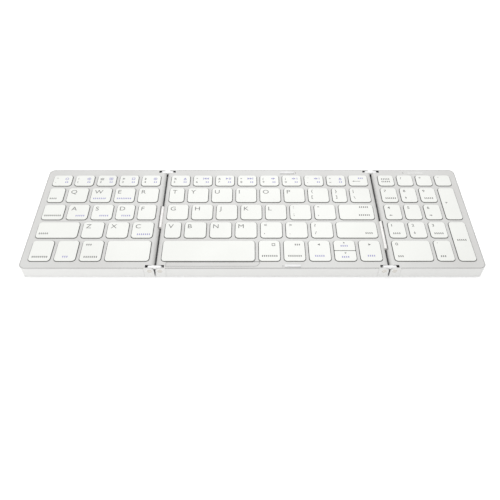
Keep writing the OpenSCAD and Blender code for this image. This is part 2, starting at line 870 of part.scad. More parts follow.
// Round covers over the ribbon cables, held by a tongue under the edge of the centre deck
module cable_barrels() {
    color(white) for (fold = folds(CENTRE)) at_fold(fold) {
        place = barrel_at(fold);
        difference() {
            union() {
                barrel_space(place[0], place[1], 0);
                tongue(place, 0);
            }
            along_y(front + place[0] - cut, front + place[0] + place[1] + cut) {
                translate([0, barrel_z]) circle(r = barrel_bore_r);
            }
        }
    }
}

// Ribbon cables of the centre panel, lying on its membrane and reaching into the folds
module ribbon_cables() {
    color("#b87333") for (fold = folds(CENTRE)) at_fold(fold) {
        place = barrel_at(fold);
        block(
            tail_u, front + place[0] + ribbon_inset, switch_z,
            centre_margin + ribbon_lap, front + place[0] + place[1] - ribbon_inset, switch_z + ribbon_t
        );
    }
}

module bumper_pads() {
    color(white) for (v = bumper_v) bumper_shape(v, deck_z - bumper_sink, deck_z + bumper_h, 0);
}

module battery() {
    x0 = (left_edge + left_fold - battery_l) / 2;
    color("#9aa0a6") translate([x0, -battery_w / 2, floor_z]) cube([battery_l, battery_w, battery_t]);
}

module main_board() {
    x0 = right_fold + board_u;
    y1 = front + board_back_v;
    top = board_z + board_t;
    port_x = right_fold + port_u;
    port_half = port_w / 2 + port_t + 2 * clear;
    slider_x = right_fold + slider_u + slider_travel / 2;
    color("#2f6b4f") difference() {
        block(x0, y1 - board_l, board_z, x0 + board_w, y1, top);
        block(
            port_x - port_half, rear - port_l - 4 * clear, board_z - cut,
            port_x + port_half, rear, top + cut
        );
    }
    color("#222222") {
        on_board(x0 + board_w * 0.55, y1 - board_l * 0.7, chip);
        on_board(x0 + board_w * 0.15, y1 - board_l * 0.85, socket);
        on_board(slider_x - switch_body[0] / 2, y1 - switch_body[1], switch_body);
    }
}

// Chip, connector or switch body on the main board
module on_board(x, y, size) {
    translate([x, y, board_z + board_t]) cube(size);
}

// Charging receptacle with its contact tongue
module usb_port() {
    color(steel) translate([right_fold + port_u, rear - port_sink, port_z]) rotate([90, 0, 0]) {
        linear_extrude(port_l) difference() {
            stadium(port_w + 2 * port_t, port_h + 2 * port_t);
            stadium(port_w, port_h);
        }
        translate([0, 0, port_l - port_back_t]) linear_extrude(port_back_t) {
            stadium(port_w + port_t, port_h + port_t);
        }
        translate([-contact_w / 2, -contact_t / 2, contact_v]) {
            cube([contact_w, contact_t, port_l - port_back_t / 2 - contact_v]);
        }
    }
}

// Knob of the power slider with the flange that keeps it in
module power_slider() {
    x = right_fold + slider_u;
    y_in = rear - wall_t - clear - flange_t;
    color("#c9c9c9") {
        block(
            x - slider_w / 2, y_in, slider_z - slider_h / 2,
            x + slider_w / 2, rear - clear, slider_z + slider_h / 2
        );
        block(
            x - slider_w / 2 - flange_w, y_in, slider_z - slider_h / 2 - flange_w / 2,
            x + slider_w / 2 + flange_w, y_in + flange_t, slider_z + slider_h / 2
        );
    }
}

module indicator_window() {
    color("#ffffff") window_shape(deck_under_z - window_under, deck_z + window_proud, 0);
}

// One key cap, hollow below
module cap(c) {
    color(white) difference() {
        translate([0, 0, cap_top_z - cap_h]) linear_extrude(cap_h) rounded_rect(c, cap_r);
        translate([0, 0, cap_top_z - cap_h - cut]) linear_extrude(cap_h - cap_top_t + cut) {
            inner = [c[0] + cap_wall_t, c[1] + cap_wall_t, c[2] - cap_wall_t, c[3] - cap_wall_t];
            rounded_rect(inner, cap_r - cap_wall_t);
        }
    }
}

module caps(list) {
    for (o = list) cap(cap_of(o));
}

deck(CENTRE);  // centre_deck
shell(CENTRE);  // centre_shell
support_plate(CENTRE);  // centre_support_plate
membrane(CENTRE);  // centre_membrane
scissors(CENTRE);  // centre_scissors
feet(CENTRE);  // centre_feet
screws(CENTRE);  // centre_screws
pins(CENTRE);  // centre_pins
bumper_pads();
cable_barrels();
ribbon_cables();
deck(LEFT);  // left_deck
shell(LEFT);  // left_shell
support_plate(LEFT);  // left_support_plate
membrane(LEFT);  // left_membrane
scissors(LEFT);  // left_scissors
feet(LEFT);  // left_feet
screws(LEFT);  // left_screws
pins(LEFT);  // left_pins
battery();
deck(RIGHT);  // right_deck
shell(RIGHT);  // right_shell
support_plate(RIGHT);  // right_support_plate
membrane(RIGHT);  // right_membrane
scissors(RIGHT);  // right_scissors
feet(RIGHT);  // right_feet
screws(RIGHT);  // right_screws
pins(RIGHT);  // right_pins
main_board();
usb_port();
power_slider();
indicator_window();
links(left_fold);  // left_links
links(right_fold);  // right_links
caps(row_openings(LEFT, 4, 0, 4));  // left_number_keys
caps(row_openings(LEFT, 3, 0, 4));  // left_top_letters
caps(row_openings(LEFT, 2, 0, 4));  // left_home_keys
caps(row_openings(LEFT, 1, 0, 0));  // left_shift
caps(row_openings(LEFT, 1, 1, 3));  // left_bottom_letters
caps(row_openings(LEFT, 0, 0, 2));  // left_modifiers
caps(row_openings(LEFT, 0, 3, 3));  // left_space
caps(row_openings(CENTRE, 4, 0, 8));  // centre_number_keys
caps(row_openings(CENTRE, 3, 0, 8));  // centre_top_letters
caps(row_openings(CENTRE, 2, 0, 6));  // centre_home_letters
caps(row_openings(CENTRE, 2, 7, 7));  // return_key
caps(row_openings(CENTRE, 1, 0, 6));  // centre_bottom_letters
caps(row_openings(CENTRE, 1, 7, 7));  // right_shift
caps(row_openings(CENTRE, 0, 0, 0));  // centre_space
caps(row_openings(CENTRE, 0, 1, 2));  // centre_modifiers
caps([opening(CENTRE, 0, 3), opening(CENTRE, 0, 5)]);  // side_arrow_keys
cap(up_cap);  // up_arrow
cap(down_cap);  // down_arrow
caps(row_openings(RIGHT, 4, 0, 3));  // pad_top_keys
caps(row_openings(RIGHT, 3, 0, 2));  // pad_789
caps(row_openings(RIGHT, 2, 0, 2));  // pad_456
caps(row_openings(RIGHT, 1, 0, 2));  // pad_123
caps([plus_opening]);  // pad_plus
caps([enter_opening]);  // pad_enter
caps(row_openings(RIGHT, 0, 0, 0));  // pad_zero
caps(row_openings(RIGHT, 0, 1, 1));  // pad_dot
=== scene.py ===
"""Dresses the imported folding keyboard: moulded key caps, printed legends, finishes, light and camera."""

from __future__ import annotations

import json
import logging
import math
from dataclasses import dataclass, field
from enum import Enum
from typing import Any, Callable, Iterable

import bmesh
import bpy
from mathutils import Matrix, Vector

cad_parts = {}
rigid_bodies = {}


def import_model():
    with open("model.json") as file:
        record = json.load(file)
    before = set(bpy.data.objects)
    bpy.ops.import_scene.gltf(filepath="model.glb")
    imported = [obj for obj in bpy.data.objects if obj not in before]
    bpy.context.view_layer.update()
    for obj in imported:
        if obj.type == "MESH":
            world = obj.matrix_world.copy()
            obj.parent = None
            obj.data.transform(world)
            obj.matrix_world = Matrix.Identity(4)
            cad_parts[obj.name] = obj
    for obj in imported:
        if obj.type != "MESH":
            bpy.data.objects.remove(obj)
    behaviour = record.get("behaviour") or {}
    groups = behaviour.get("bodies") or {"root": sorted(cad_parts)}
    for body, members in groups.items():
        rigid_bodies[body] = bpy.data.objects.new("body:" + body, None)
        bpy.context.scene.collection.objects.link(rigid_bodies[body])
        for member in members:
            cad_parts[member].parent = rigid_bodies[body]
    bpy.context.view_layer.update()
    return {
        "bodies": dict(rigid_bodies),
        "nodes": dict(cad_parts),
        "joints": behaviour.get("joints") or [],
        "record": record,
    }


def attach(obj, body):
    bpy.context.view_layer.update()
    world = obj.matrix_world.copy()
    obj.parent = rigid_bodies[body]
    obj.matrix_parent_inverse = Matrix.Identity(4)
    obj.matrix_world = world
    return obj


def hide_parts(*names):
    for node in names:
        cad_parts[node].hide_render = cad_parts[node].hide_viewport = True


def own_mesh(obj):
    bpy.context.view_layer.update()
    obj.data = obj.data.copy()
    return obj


LOG = logging.getLogger("folding_keyboard")
MM = 0.001
# Corners of the CAD's loose triangles this close are one corner, in metres.
WELD = 1e-6
# The same for the corners of the caps and prints made here.
FINE_WELD = 1e-7
# The CAD's heights are compared to this many digits of a metre.
HEIGHT_DIGITS = 6
# The least angle between two faces that stays a sharp edge, in degrees.
SMOOTH_DEGREES = 35.0
# The least angle of an edge that gets a rounding, in radians, and the rounding's number of faces.
ROUNDED_ANGLE = 0.6
ROUNDED_FACES = 2
# The largest angle between two triangles of one flat face, in radians.
FLAT_ANGLE = 0.01
# Length of a printed arrowhead, as a share of its height.
POINT_SHARE = 0.85
WHITE = (1.0, 1.0, 1.0, 1.0)

Point = tuple[float, float]
Outline = tuple[Point, ...]
Settings = tuple[tuple[str, Any], ...]


def linear(hex_colour: str) -> tuple[float, float, float, float]:
    """Turns an sRGB hex colour into linear values.

    Args:
        hex_colour: six hex digits, with or without a leading number sign.

    Returns:
        Red, green, blue and an alpha of 1.
    """
    digits = hex_colour.lstrip("#")
    values = []
    for start in (0, 2, 4):
        value = int(digits[start:start + 2], 16) / 255.0
        values.append(value / 12.92 if value <= 0.04045 else ((value + 0.055) / 1.055) ** 2.4)
    return values[0], values[1], values[2], 1.0


def add_node(
    tree: bpy.types.NodeTree, kind: str, inputs: dict[Any, Any] | None = None, **settings: Any
) -> bpy.types.Node:
    """Adds a node to a shader or geometry tree.

    Args:
        tree: the tree that takes the node.
        kind: Blender's type name of the node.
        inputs: a value, or an output to link, for each input by name or number.
        **settings: properties of the node.

    Returns:
        The new node.
    """
    node = tree.nodes.new(kind)
    for name, value in settings.items():
        setattr(node, name, value)
    for name, value in (inputs or {}).items():
        socket = node.inputs[name]
        if isinstance(value, bpy.types.NodeSocket):
            tree.links.new(value, socket)
        else:
            socket.default_value = value
    return node


def per_metre(millimetres: float) -> float:
    """Turns the real size of one pattern cell into a texture scale."""
    return 1.0 / (millimetres * MM)


@dataclass(frozen=True)
class Finish:
    """A surface whose tone, gloss and relief follow patterns. Each kind says how the real one is made.

    The tones high and low belong to the high and low values of a pattern. Without a cloud pattern the tone
    follows the grain, and without a gloss pattern the roughness does.
    """

    name: str
    high: str
    low: str
    roughness: tuple[float, float]
    grain_mm: float
    surface: Settings
    grain_detail: float = 2.0
    stretch: tuple[float, float, float] = (1.0, 1.0, 1.0)
    cloud_mm: float | None = None
    gloss_mm: float | None = None
    tone_steps: tuple[float, float] = (0.35, 0.65)
    depth_mm: float | None = None

    def build(self) -> bpy.types.Material:
        """Builds the finish on Object coordinates.

        Returns:
            The material.
        """
        material = bpy.data.materials.new(self.name)
        material.use_nodes = True
        tree = material.node_tree
        tree.nodes.clear()
        place = add_node(tree, "ShaderNodeTexCoord").outputs["Object"]
        grain = self.grain(tree, place)
        patterns = []
        for cell_mm in (self.cloud_mm, self.gloss_mm):
            if cell_mm:
                noise = add_node(tree, "ShaderNodeTexNoise", {"Vector": place, "Scale": per_metre(cell_mm)})
                patterns.append(noise.outputs["Fac"])
            else:
                patterns.append(grain)
        tone, gloss = patterns
        ramp = add_node(tree, "ShaderNodeValToRGB", {"Fac": tone})
        for element, step, colour in zip(ramp.color_ramp.elements, self.tone_steps, (self.low, self.high)):
            element.position = step
            element.color = linear(colour)
        least, most = self.roughness
        inputs = {
            "Base Color": self.painted(tree, place, ramp.outputs["Color"]),
            "Roughness": add_node(
                tree, "ShaderNodeMapRange", {"Value": gloss, "To Min": least, "To Max": most}
            ).outputs["Result"],
            **dict(self.surface),
        }
        if self.depth_mm:
            inputs["Normal"] = add_node(
                tree, "ShaderNodeBump", {"Height": grain, "Distance": self.depth_mm * MM, "Strength": 1.0}
            ).outputs["Normal"]
        surface = add_node(tree, "ShaderNodeBsdfPrincipled", inputs)
        add_node(tree, "ShaderNodeOutputMaterial", {"Surface": surface.outputs["BSDF"]})
        return material

    def grain(self, tree: bpy.types.NodeTree, place: Any) -> Any:
        """Adds the fine pattern, noise drawn out along the piece.

        Args:
            tree: the material's tree.
            place: its Object coordinates.

        Returns:
            The pattern's value.
        """
        drawn = add_node(tree, "ShaderNodeMapping", {"Vector": place, "Scale": self.stretch}).outputs[0]
        return add_node(
            tree, "ShaderNodeTexNoise",
            {"Vector": drawn, "Scale": per_metre(self.grain_mm), "Detail": self.grain_detail},
        ).outputs["Fac"]

    def painted(self, tree: bpy.types.NodeTree, place: Any, colour: Any) -> Any:
        """Gives the colour with any other tones painted over it. A plain finish has none."""
        return colour


@dataclass(frozen=True)
class MouldedPlastic(Finish):
    """Injection moulded plastic. The spark-eroded mould leaves an even grain that softens every reflection.

    The grain is drawn at 0.5 mm, coarser than the real 0.1 mm, so that it shows.
    """

    grain_mm: float = 0.5
    grain_detail: float = 3.0
    cloud_mm: float | None = 40.0
    depth_mm: float | None = 0.006
    surface: Settings = (("IOR", 1.53),)


@dataclass(frozen=True)
class SprayedPlastic(MouldedPlastic):
    """Moulded plastic coated from above. The coat lies on what looks up. The inner walls get a darker painted
    shade for the shade in slots, openings and folds.
    """

    roughness: tuple[float, float] = (0.36, 0.48)
    surface: Settings = (("IOR", 1.5),)
    # inner is the painted shade of the inner walls; outer is the tone of the other faces that the coat
    # misses.
    inner: str = field(kw_only=True)
    outer: str = field(kw_only=True)
    side_mm: float = 200.0
    end_mm: float = 48.4
    coat_slope: float = 0.05
    wall_slope: float = 0.5

    def painted(self, tree: bpy.types.NodeTree, place: Any, colour: Any) -> Any:
        """Paints what the coat misses: the outside in its own tone, and painted shade on the inner walls
        within the sides and ends.

        Args:
            tree: the material's tree.
            place: its Object coordinates.
            colour: the coat's colour.

        Returns:
            The colour.
        """
        normal = add_node(tree, "ShaderNodeNewGeometry").outputs["True Normal"]
        # The piece's own normal, so that a folded panel keeps its colours.
        own = add_node(
            tree, "ShaderNodeVectorTransform", {"Vector": normal},
            vector_type="NORMAL", convert_from="WORLD", convert_to="OBJECT",
        ).outputs["Vector"]
        upward = add_node(tree, "ShaderNodeSeparateXYZ", {0: own}).outputs["Z"]
        across, along, _ = add_node(tree, "ShaderNodeSeparateXYZ", {0: place}).outputs
        missed = add_node(
            tree, "ShaderNodeMath", {0: upward, 1: self.coat_slope}, operation="LESS_THAN"
        ).outputs[0]
        # Mask of the painted shade: walls inside the sides and ends, which are darkened for the shade that
        # falls in slots and folds.
        painted_shade = missed
        reaches = ((upward, self.wall_slope), (across, self.side_mm * MM), (along, self.end_mm * MM))
        for value, reach in reaches:
            within = add_node(tree, "ShaderNodeMath", {0: value, 1: 0.0, 2: reach}, operation="COMPARE")
            both = add_node(tree, "ShaderNodeMath", {0: painted_shade, 1: within.outputs[0]}, operation="MULTIPLY")
            painted_shade = both.outputs[0]
        # The outer tone goes where the coat misses, then the painted shade goes on the inner walls.
        for mask, tone in ((missed, self.outer), (painted_shade, self.inner)):
            colour = add_node(
                tree, "ShaderNodeMix", {0: mask, 6: colour, 7: linear(tone)}, data_type="RGBA"
            ).outputs[2]
        return colour


@dataclass(frozen=True)
class GlossPlastic(Finish):
    """Plastic from a polished mould. It shows a clear highlight, with faint flow marks from front to rear."""

    roughness: tuple[float, float] = (0.12, 0.24)
    stretch: tuple[float, float, float] = (4.0, 1.0, 4.0)
    grain_mm: float = 6.0
    depth_mm: float | None = 0.01
    surface: Settings = (("IOR", 1.53), ("Coat Weight", 0.3), ("Coat Roughness", 0.08))


@dataclass(frozen=True)
class Metal(Finish):
    """Bare metal. Rolling, drawing or turning leaves fine lines in one direction."""

    grain_mm: float = 0.35
    grain_detail: float = 4.0
    tone_steps: tuple[float, float] = (0.3, 0.7)
    depth_mm: float | None = 0.003
    surface: Settings = (("Metallic", 1.0),)


@dataclass(frozen=True)
class Enamel(Finish):
    """Stoved enamel on steel. The paint flows out with a slight orange peel. Below a height the colour turns
    to a dark painted shade.
    """

    roughness: tuple[float, float] = (0.24, 0.32)
    grain_mm: float = 0.8
    grain_detail: float = 1.0
    cloud_mm: float | None = 5.0
    depth_mm: float | None = 0.008
    surface: Settings = (("IOR", 1.5), ("Coat Weight", 0.4), ("Coat Roughness", 0.1))
    # Colour of the dark painted shade on the lower part, and the height below which it goes.
    painted_shade: str = field(kw_only=True)
    painted_shade_below_mm: float = field(kw_only=True)

    def painted(self, tree: bpy.types.NodeTree, place: Any, colour: Any) -> Any:
        """Paints a dark painted shade on what lies below a height.

        Args:
            tree: the material's tree.
            place: its Object coordinates.
            colour: the enamel's colour.

        Returns:
            The colour.
        """
        height = add_node(tree, "ShaderNodeSeparateXYZ", {0: place}).outputs["Z"]
        below = add_node(
            tree, "ShaderNodeMath", {0: height, 1: 0.0, 2: self.painted_shade_below_mm * MM}, operation="COMPARE"
        ).outputs[0]
        return add_node(
            tree, "ShaderNodeMix", {0: below, 6: colour, 7: linear(self.painted_shade)}, data_type="RGBA"
        ).outputs[2]


@dataclass(frozen=True)
class Rubber(Finish):
    """Compression moulded rubber. It is matt, with a fine pebble and a dusty bloom at grazing angles."""

    grain_mm: float = 0.4
    cloud_mm: float | None = 4.0
    depth_mm: float | None = 0.012
    surface: Settings = (("IOR", 1.45), ("Sheen Weight", 0.15), ("Sheen Roughness", 0.5))


@dataclass(frozen=True)
class PrintedInk(Finish):
    """Pad printing. The ink lies thin and even, with slightly patchy density."""

    roughness: tuple[float, float] = (0.5, 0.62)
    grain_mm: float = 0.7
    surface: Settings = (("IOR", 1.48),)


@dataclass(frozen=True)
class ClearDiffuser(Finish):
    """Polycarbonate with a milky filler. Light spreads inside it, so its edges glow softly."""

    roughness: tuple[float, float] = (0.22, 0.3)
    grain_mm: float = 3.0
    surface: Settings = (
        ("IOR", 1.58), ("Subsurface Weight", 0.3), ("Subsurface Scale", 0.001),
        ("Subsurface Radius", (1.0, 1.0, 1.0)),
    )


@dataclass(frozen=True)
class PolyimideRibbon(Finish):
    """Flexible circuit. Copper tracks run under amber film as fine stripes along the cable's way."""

    roughness: tuple[float, float] = (0.25, 0.35)
    grain_mm: float = 1.0
    tone_steps: tuple[float, float] = (0.45, 0.55)
    depth_mm: float | None = 0.02
    surface: Settings = (("IOR", 1.7), ("Coat Weight", 0.5), ("Coat Roughness", 0.1))
    bands_per_unit: float = 20.0

    def grain(self, tree: bpy.types.NodeTree, place: Any) -> Any:
        """Adds the tracks. They run across the fold, so the stripes repeat along Y."""
        scale = per_metre(self.grain_mm) / self.bands_per_unit
        return add_node(
            tree, "ShaderNodeTexWave", {"Vector": place, "Scale": scale, "Distortion": 0.0},
            wave_type="BANDS", bands_direction="Y", wave_profile="SIN",
        ).outputs["Fac"]


@dataclass(frozen=True)
class ContactFilm(Finish):
    """Polyester film printed with silver tracks, under silicone domes. It looks milky, with grey lines."""

    roughness: tuple[float, float] = (0.25, 0.4)
    grain_mm: float = 9.0
    gloss_mm: float | None = 2.0
    tone_steps: tuple[float, float] = (0.0, 1.0)
    surface: Settings = (("IOR", 1.6), ("Transmission Weight", 0.1))
    cells_per_unit: float = 2.0
    line_share: float = 0.02

    def grain(self, tree: bpy.types.NodeTree, place: Any) -> Any:
        """Adds the tracks, as the joints of a brick pattern."""
        scale = per_metre(self.grain_mm) / self.cells_per_unit
        return add_node(
            tree, "ShaderNodeTexBrick", {"Vector": place, "Scale": scale, "Mortar Size": self.line_share}
        ).outputs["Fac"]


@dataclass(frozen=True)
class CircuitBoard(Finish):
    """Glass fibre board under solder mask. Tracks stand as slightly lighter lines in the green.

    The copper shows through the mask as angular cells a few millimetres wide.
    """

    roughness: tuple[float, float] = (0.3, 0.4)
    grain_mm: float = 2.5
    gloss_mm: float | None = 1.0
    tone_steps: tuple[float, float] = (0.03, 0.06)
    depth_mm: float | None = 0.03
    surface: Settings = (("IOR", 1.55), ("Coat Weight", 0.4), ("Coat Roughness", 0.15))
    disorder: float = 0.6

    def grain(self, tree: bpy.types.NodeTree, place: Any) -> Any:
        """Adds the cells, by the distance to their nearest edge."""
        return add_node(
            tree, "ShaderNodeTexVoronoi",
            {"Vector": place, "Scale": per_metre(self.grain_mm), "Randomness": self.disorder},
            feature="DISTANCE_TO_EDGE",
        ).outputs["Distance"]


@dataclass(frozen=True)
class FoilPouch(Finish):
    """Laminated aluminium foil of a battery. It is pale, creased and only half mirror-like."""

    roughness: tuple[float, float] = (0.3, 0.45)
    grain_mm: float = 5.0
    grain_detail: float = 5.0
    depth_mm: float | None = 0.25
    surface: Settings = (("Metallic", 0.9),)


class Finishes:
    """Every finish of the keyboard, by the record's material slot."""

    ALONG_X = (0.06, 1.0, 1.0)
    ALONG_Y = (1.0, 0.06, 1.0)

    SLOTS: dict[str, Finish] = {
        # Shell: the inner grey is painted shade on the fold walls and inner walls, where shade falls between
        # the panels.
        "shell_white": SprayedPlastic(
            "abs_shell_moulded_silver_topped", "#dadad8", "#d5d4d2",
            inner="#a4a4a6", outer="#eeeeec", side_mm=152.0,
        ),
        # Deck: the dark inner tone is painted shade on the walls of the key openings and the lower fold
        # edges.
        "deck_silver": SprayedPlastic(
            "abs_deck_moulded_silver_sprayed", "#dadad8", "#d5d4d2", inner="#4e4e51", outer="#eeeeec"
        ),
        # Caps: the grey of their sides, skirts and undersides is painted shade, for the shade in the gaps
        # round the caps.
        "cap_white": SprayedPlastic(
            "abs_key_cap_moulded_top_coated", "#f4f5f1", "#f0f1ed", inner="#989896", outer="#989896"
        ),
        "plate_aluminium": Metal(
            "aluminium_plate_rolled", "#c9cbce", "#b4b7bb", (0.28, 0.44), stretch=ALONG_X
        ),
        "membrane_film": ContactFilm("polyester_film_printed", "#9aa0a6", "#e3e5e6"),
        "scissor_white": MouldedPlastic("acetal_lever_moulded", "#ecebe6", "#e4e3dd", (0.29, 0.41)),
        "foot_rubber": Rubber("rubber_foot_moulded_grey", "#bdbdbd", "#b0b0b0", (0.7, 0.8)),
        "screw_steel": Metal("steel_screw_zinc_plated", "#c6c9cc", "#a6aaae", (0.24, 0.4)),
        "pin_steel": Metal(
            "steel_pin_turned", "#d9d6d1", "#c9c6c0", (0.24, 0.4), grain_mm=0.12, stretch=ALONG_Y
        ),
        "pad_silicone": Rubber("silicone_pad_moulded_white", "#f6f6f6", "#efefef", (0.45, 0.55)),
        "barrel_white": GlossPlastic("soft_cover_moulded_gloss_white", "#f7f5f3", "#efedeb"),
        "ribbon_film": PolyimideRibbon("polyimide_ribbon_etched", "#c98a3c", "#a8601e"),
        "battery_wrap": FoilPouch("battery_foil_laminated", "#b9bcc0", "#94989d"),
        "board_green": CircuitBoard("circuit_board_solder_mask", "#1f5a3c", "#3b8a5e"),
        "port_steel": Metal("steel_port_drawn_plated", "#c8cacc", "#a9acb0", (0.22, 0.38), stretch=ALONG_Y),
        "slider_grey": MouldedPlastic("abs_slider_moulded_grey", "#c9c9c9", "#c0c0c0", (0.34, 0.46)),
        "window_clear": ClearDiffuser("polycarbonate_window_milky", "#e4e4e2", "#dcdcda"),
        # Link: the dark tone below 8.6 mm is painted shade, for the shade in the fold gap.
        "link_enamel": Enamel(
            "steel_link_white_enamel", "#f9f9f9", "#f1f1f1", painted_shade="#3c3c3e", painted_shade_below_mm=8.6
        ),
    }

    def __init__(self, frame: dict[str, Any]) -> None:
        """Builds the inks and every slot's material, and dresses the CAD nodes.
        """
        self.by_slot = {slot: finish.build() for slot, finish in self.SLOTS.items()}
        self.by_ink = {ink: ink.value.build() for ink in Ink}
        self.slot_of = {part["node"]: part["material_slot"] for part in frame["record"]["subparts"]}
        for node, slot in self.slot_of.items():
            for holder in frame["nodes"][node].material_slots:
                holder.material = self.by_slot[slot]


class Ink(Enum):
    """The two printing inks of the legends."""

    GREY = PrintedInk("printed_ink_grey", "#7e7e7c", "#6e6e6c")
    LAVENDER = PrintedInk("printed_ink_lavender", "#a3a1cf", "#9290c4")


def bar(x: float, y: float, width: float, height: float) -> Outline:
    """Draws a bar from its middle and size in millimetres."""
    return (
        (x - width / 2, y - height / 2), (x + width / 2, y - height / 2),
        (x + width / 2, y + height / 2), (x - width / 2, y + height / 2),
    )


def turned(outlines: tuple[Outline, ...], quarters: int) -> tuple[Outline, ...]:
    """Turns a sign by quarter turns, anticlockwise.

    Args:
        outlines: the sign.
        quarters: the number of quarter turns.

    Returns:
        The turned sign.
    """
    for _ in range(quarters):
        outlines = tuple(tuple((-y, x) for x, y in outline) for outline in outlines)
    return outlines


def triangle(x: float, size: float) -> Outline:
    """Draws a triangle that points right, from its left side and its height in millimetres."""
    return (x, -size / 2), (x + size * POINT_SHARE, 0.0), (x, size / 2)


def arrow(length: float, head: float, line: float) -> tuple[Outline, ...]:
    """Draws an arrow that points right.

    Args:
        length: length in millimetres.
        head: width of its head in millimetres.
        line: width of its shaft in millimetres.

    Returns:
        The outlines.
    """
    tip = head * POINT_SHARE
    return bar(-tip / 2, 0.0, length - tip, line), triangle(length / 2 - tip, head)


def ring(radius: float, line: float, sides: int = 16) -> tuple[Outline, ...]:
    """Draws a ring of short quads.

    Args:
        radius: outer radius in millimetres.
        line: width of the ring in millimetres.
        sides: number of quads.

    Returns:
        The outlines.
    """
    corners = [(math.cos(math.tau * i / sides), math.sin(math.tau * i / sides)) for i in range(sides + 1)]
    inner = radius - line
    return tuple(
        ((inner * a, inner * b), (radius * a, radius * b), (radius * c, radius * d), (inner * c, inner * d))
        for (a, b), (c, d) in zip(corners, corners[1:])
    )


def frame_sign(size: float, line: float) -> tuple[Outline, ...]:
    """Draws the four sides of a square, each with mitred ends, so that two sides share one whole edge.

    Args:
        size: outer size in millimetres.
        line: width of a side in millimetres.

    Returns:
        The outlines of the sides.
    """
    outer = bar(0.0, 0.0, size, size)
    inner = bar(0.0, 0.0, size - 2 * line, size - 2 * line)
    return tuple((outer[i - 1], outer[i], inner[i], inner[i - 1]) for i in range(4))


def strokes(count: int, size: float = 0.75, pitch: float = 1.4, height: float = 1.5) -> tuple[Outline, ...]:
    """Draws a row of short strokes.

    Args:
        count: number of strokes.
        size: width of a stroke in millimetres.
        pitch: distance from stroke to stroke in millimetres.
        height: height of a stroke in millimetres.

    Returns:
        The outlines.
    """
    return tuple(bar(i * pitch, 0.0, size, height) for i in range(count))


class Sign(Enum):
    """Plain signs for keys without a letter, as outlines in millimetres."""

    RIGHT = arrow(2.4, 1.5, 0.45)
    UP = turned(RIGHT, 1)
    LEFT = turned(RIGHT, 2)
    DOWN = turned(RIGHT, 3)
    LONG_LEFT = turned(arrow(6.0, 1.6, 0.45), 2)
    POINT_RIGHT = (triangle(-0.85, 2.0),)
    POINT_UP = turned((triangle(-0.6, 1.5),), 1)
    POINT_LEFT = turned(POINT_RIGHT, 2)
    POINT_DOWN = turned(POINT_UP, 2)
    PLAY = (triangle(-1.0, 2.2), bar(1.6, 0.0, 0.5, 2.2), bar(2.6, 0.0, 0.5, 2.2))
    NEXT = (triangle(-1.9, 2.2), triangle(0.0, 2.2), bar(2.2, 0.0, 0.5, 2.2))
    BACK = turned(NEXT, 2)
    STEP = (bar(-0.6, 0.0, 0.9, 1.1), triangle(0.1, 2.2))
    STEPS = (bar(-1.6, 0.0, 0.9, 1.1), triangle(-0.9, 2.2), bar(1.9, 0.0, 0.5, 2.0))
    RING = ring(1.35, 0.45)
    WHEEL = (*ring(1.4, 0.4), bar(0.0, 0.0, 1.0, 1.0))
    SQUARE = frame_sign(2.4, 0.45)
    PANES = (
        *frame_sign(2.8, 0.4),
        bar(0.0, 0.0, 0.4, 2.0), bar(0.6, 0.0, 0.8, 0.4), bar(-0.6, 0.0, 0.8, 0.4),
    )
    LEDGE = (turned((triangle(-0.4, 2.2),), 1)[0], bar(0.0, -1.1, 2.4, 0.5))


class Corner(Enum):
    """The corner of a cap from which a mark's place is counted, as the signs of X and Y."""

    REAR_LEFT = (-1, 1)
    REAR_RIGHT = (1, 1)
    FRONT_LEFT = (-1, -1)
    FRONT_RIGHT = (1, -1)


@dataclass(frozen=True)
class Mark:
    """One printed mark: a character, a plain sign or a number of strokes, placed in millimetres."""

    corner: Corner
    across: float
    along: float
    shape: str | Sign | int
    ink: Ink = Ink.GREY
    height: float = 3.8


Legend = tuple[Mark, ...]


def letter(text: str, *more: Mark) -> Legend:
    """A letter in the rear left corner, with whatever else stands on the cap."""
    return Mark(Corner.REAR_LEFT, 2.1, 2.1, text), *more


def pair(rear: str, front: str) -> Legend:
    """Two small characters of a punctuation key, one behind the other."""
    return (
        Mark(Corner.REAR_LEFT, 2.4, 1.8, rear, height=2.7),
        Mark(Corner.FRONT_LEFT, 2.4, 3.2, front, height=2.7),
    )


def digit(rear: str, front: str, sign: Sign) -> Legend:
    """A number row key: two small characters on the left, lavender marks on the right."""
    return (
        Mark(Corner.REAR_LEFT, 1.9, 2.8, rear, height=1.9),
        Mark(Corner.FRONT_LEFT, 1.9, 3.0, front, height=1.9),
        Mark(Corner.REAR_RIGHT, 2.6, 2.5, sign, Ink.LAVENDER),
        Mark(Corner.FRONT_RIGHT, 2.6, 3.1, 2, Ink.LAVENDER),
    )


def row(across: float, along: float, count: int, ink: Ink = Ink.GREY) -> Mark:
    """A row of strokes, placed from the front left corner."""
    return Mark(Corner.FRONT_LEFT, across, along, count, ink)


def number(text: str, second: Sign | int | None = None) -> Legend:
    """A number pad key: its digit, and a sign or strokes in front of it."""
    marks = (Mark(Corner.REAR_LEFT, 2.4, 1.9, text, height=2.4),)
    return marks + ((Mark(Corner.FRONT_LEFT, 2.6, 3.2, second),) if second else ())


BARE: Legend = ()

